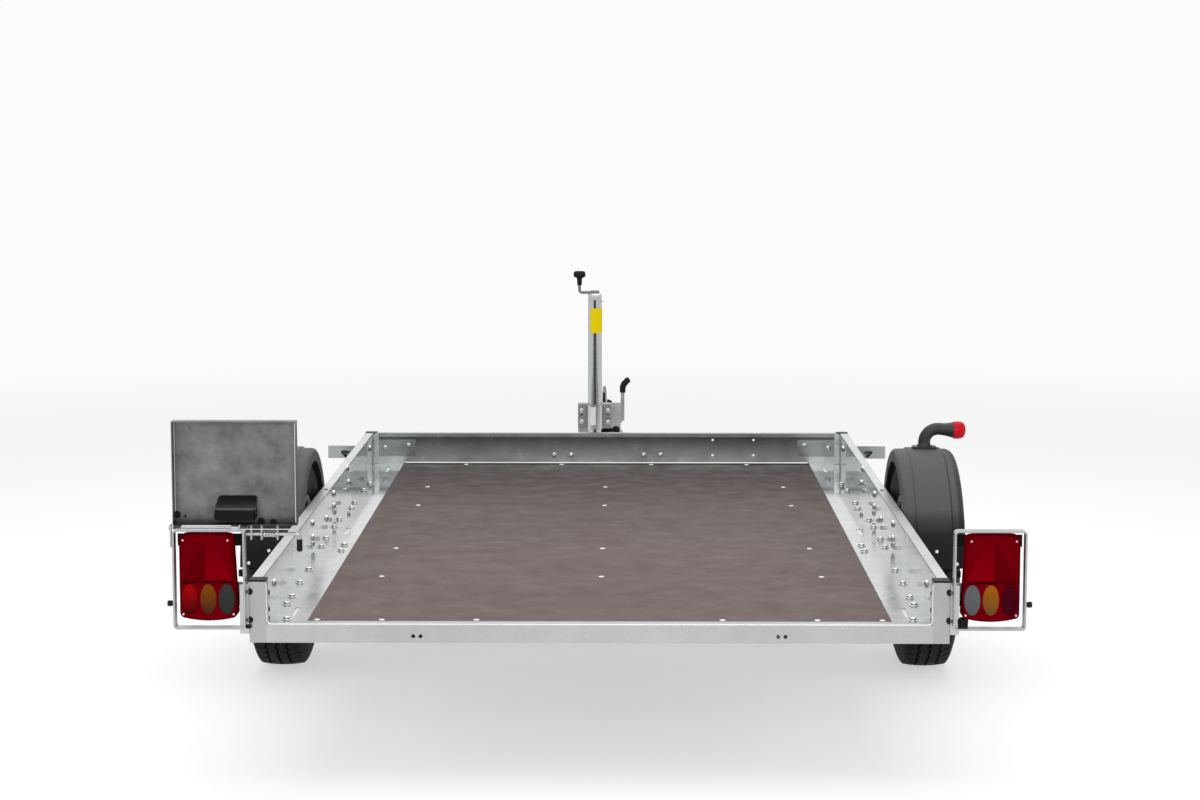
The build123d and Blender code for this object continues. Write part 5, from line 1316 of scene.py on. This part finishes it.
# %% Jockey wheel
jockey_low, jockey_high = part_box("jockey_wheel")
jockey_middle = Vector(middle_of(jockey_low, jockey_high))
radius, half = 0.5 * (jockey_high.z - jockey_low.z), 0.5 * (jockey_high.x - jockey_low.x)
# Both profiles are shares of the wheel's half width and radius, from the middle plane outward.
tread = ((0.55, 0.70), (0.80, 0.72), (0.97, 0.80), (1.0, 0.86), (0.93, 0.92), (0.78, 0.965), (0.52, 0.99),
         (0.28, 1.0), (0.26, 0.985), (0.20, 0.985), (0.18, 1.0))
pressed = ((0.62, 0.705), (0.66, 0.735), (0.60, 0.74), (0.52, 0.715), (0.30, 0.66), (0.20, 0.50), (0.24, 0.36),
           (0.55, 0.26), (0.97, 0.20), (0.98, 0.0085 / radius))
for name, profile, finish, crease, replaced in (("jockey_tyre", tread, tyre_rubber, 45, "jockey_wheel"),
                                                ("jockey_rim", pressed, rim_paint, 40, None)):
    right_half = [(half * far, radius * size) for far, size in profile]
    body = Shape().turned(right_half + [(-far, size) for far, size in reversed(right_half)], jockey_middle,
                          steps=64, loop=True)
    body.done(name, finish, "jockey_wheel", "jockey_wheel", crease, replaces=replaced)
pins = [seat(("jack_fork",), jockey_middle + right_x * way * 0.1, (-way, 0, 0)) for way in both_sides]
fasten("jockey_nuts", nut_head, pins, bright_zinc, "jack_fork")

# %% [markdown]
# ## Studio
# A plain pale floor runs back to a pale world, and large soft lamps stand above and around it, so
# that zinc has something broad and bright to reflect. The camera sees the floor as almost white,
# with only the trailer's own soft shadow on it.

# %% Floor
def seen_straight(tree):
    """1 for a ray from the camera or from a mirror-like face, 0 for any other."""
    rays = wire(tree, "ShaderNodeLightPath").outputs
    return rays["Is Glossy Ray"], calculated(tree, "MAXIMUM", rays["Is Camera Ray"], rays["Is Glossy Ray"])


def faded(tree, value, start, end, low, high):
    """A value mapped smoothly from one range to another."""
    node = wire(tree, "ShaderNodeMapRange", value, From_Min=start, From_Max=end, To_Min=low, To_Max=high)
    node.interpolation_type = "SMOOTHSTEP"
    return node.outputs[0]


white, reach = (1, 1, 1), 30
floor_mesh = bpy.data.meshes.new("studio_floor")
floor_mesh.from_pydata([(-reach, -reach, 0), (reach, -reach, 0), (reach, reach, 0), (-reach, reach, 0)], [],
                       [(0, 1, 2, 3)])
studio_floor = bpy.data.objects.new("studio_floor", floor_mesh)
bpy.context.collection.objects.link(studio_floor)
floor_finish = bpy.data.materials.new("studio_floor")
floor_finish.use_nodes = True
tree = floor_finish.node_tree
tree.nodes.clear()
distance = wire(tree, "ShaderNodeVectorMath", wire(tree, "ShaderNodeTexCoord").outputs["Object"])
distance.operation = "LENGTH"
far = faded(tree, distance.outputs["Value"], 2.5, 8.0, 0.0, 1.0)
shaded = wire(tree, "ShaderNodeBsdfDiffuse", Color=(0.55, 0.55, 0.55)).outputs[0]
faint = wire(tree, "ShaderNodeEmission", Color=white, Strength=0.556).outputs[0]
near = wire(tree, "ShaderNodeAddShader", shaded, faint).outputs[0]
glowing = wire(tree, "ShaderNodeEmission", Color=white, Strength=0.965).outputs[0]
blended = wire(tree, "ShaderNodeMixShader", far, near, glowing).outputs[0]
painted = wire(tree, "ShaderNodeBsdfDiffuse", Color=(0.97, 0.97, 0.97)).outputs[0]
surface = wire(tree, "ShaderNodeMixShader", seen_straight(tree)[1], painted, blended).outputs[0]
wire(tree, "ShaderNodeOutputMaterial", Surface=surface)
floor_mesh.materials.append(floor_finish)
print("floor", 2 * reach, "m wide")

# %% World and lamps
world = bpy.data.worlds.new("studio")
world.use_nodes = True
bpy.context.scene.world = world
tree = world.node_tree
backdrop = tree.nodes["Background"].inputs
backdrop["Color"].default_value = (*white, 1)
mirrored_ray, straight = seen_straight(tree)
strength = wire(tree, "ShaderNodeMapRange", straight, To_Min=0.38, To_Max=0.96).outputs[0]
way_out = wire(tree, "ShaderNodeSeparateXYZ", wire(tree, "ShaderNodeTexCoord").outputs["Generated"])
aside = calculated(tree, "ABSOLUTE", way_out.outputs["X"])
dimmed = calculated(tree, "MULTIPLY", strength, faded(tree, aside, 0.35, 0.95, 1.0, 0.62))
shown = wire(tree, "ShaderNodeMix", Factor=mirrored_ray, A=strength, B=dimmed)
tree.links.new(shown.outputs["Result"], backdrop["Strength"])


def soft_lamp(name, place, target, size, watts, mirrored=True):
    """A rectangular lamp that faces its target; it may be hidden from mirror-like faces."""
    data = bpy.data.lights.new(name, "AREA")
    data.shape = "RECTANGLE"
    data.size, data.size_y = size
    data.energy = watts
    lamp = bpy.data.objects.new(name, data)
    bpy.context.collection.objects.link(lamp)
    lamp.location = place
    lamp.rotation_euler = (Vector(target) - Vector(place)).to_track_quat("-Z", "Y").to_euler()
    lamp.visible_glossy = mirrored


soft_lamp("ceiling", (0, 0, 4.5), (0, 0, 0), (5, 6), 130)
soft_lamp("left_wall", (-4.5, -3, 2.4), (0, -0.5, 0.3), (3, 2.5), 40, mirrored=False)
soft_lamp("right_wall", (4.5, -3, 2.4), (0, -0.5, 0.3), (3, 2.5), 40, mirrored=False)
soft_lamp("behind_camera", (0, -8, 3.2), (0, -1, 0.4), (4, 2), 100)
bpy.context.scene.view_settings.view_transform = "Standard"
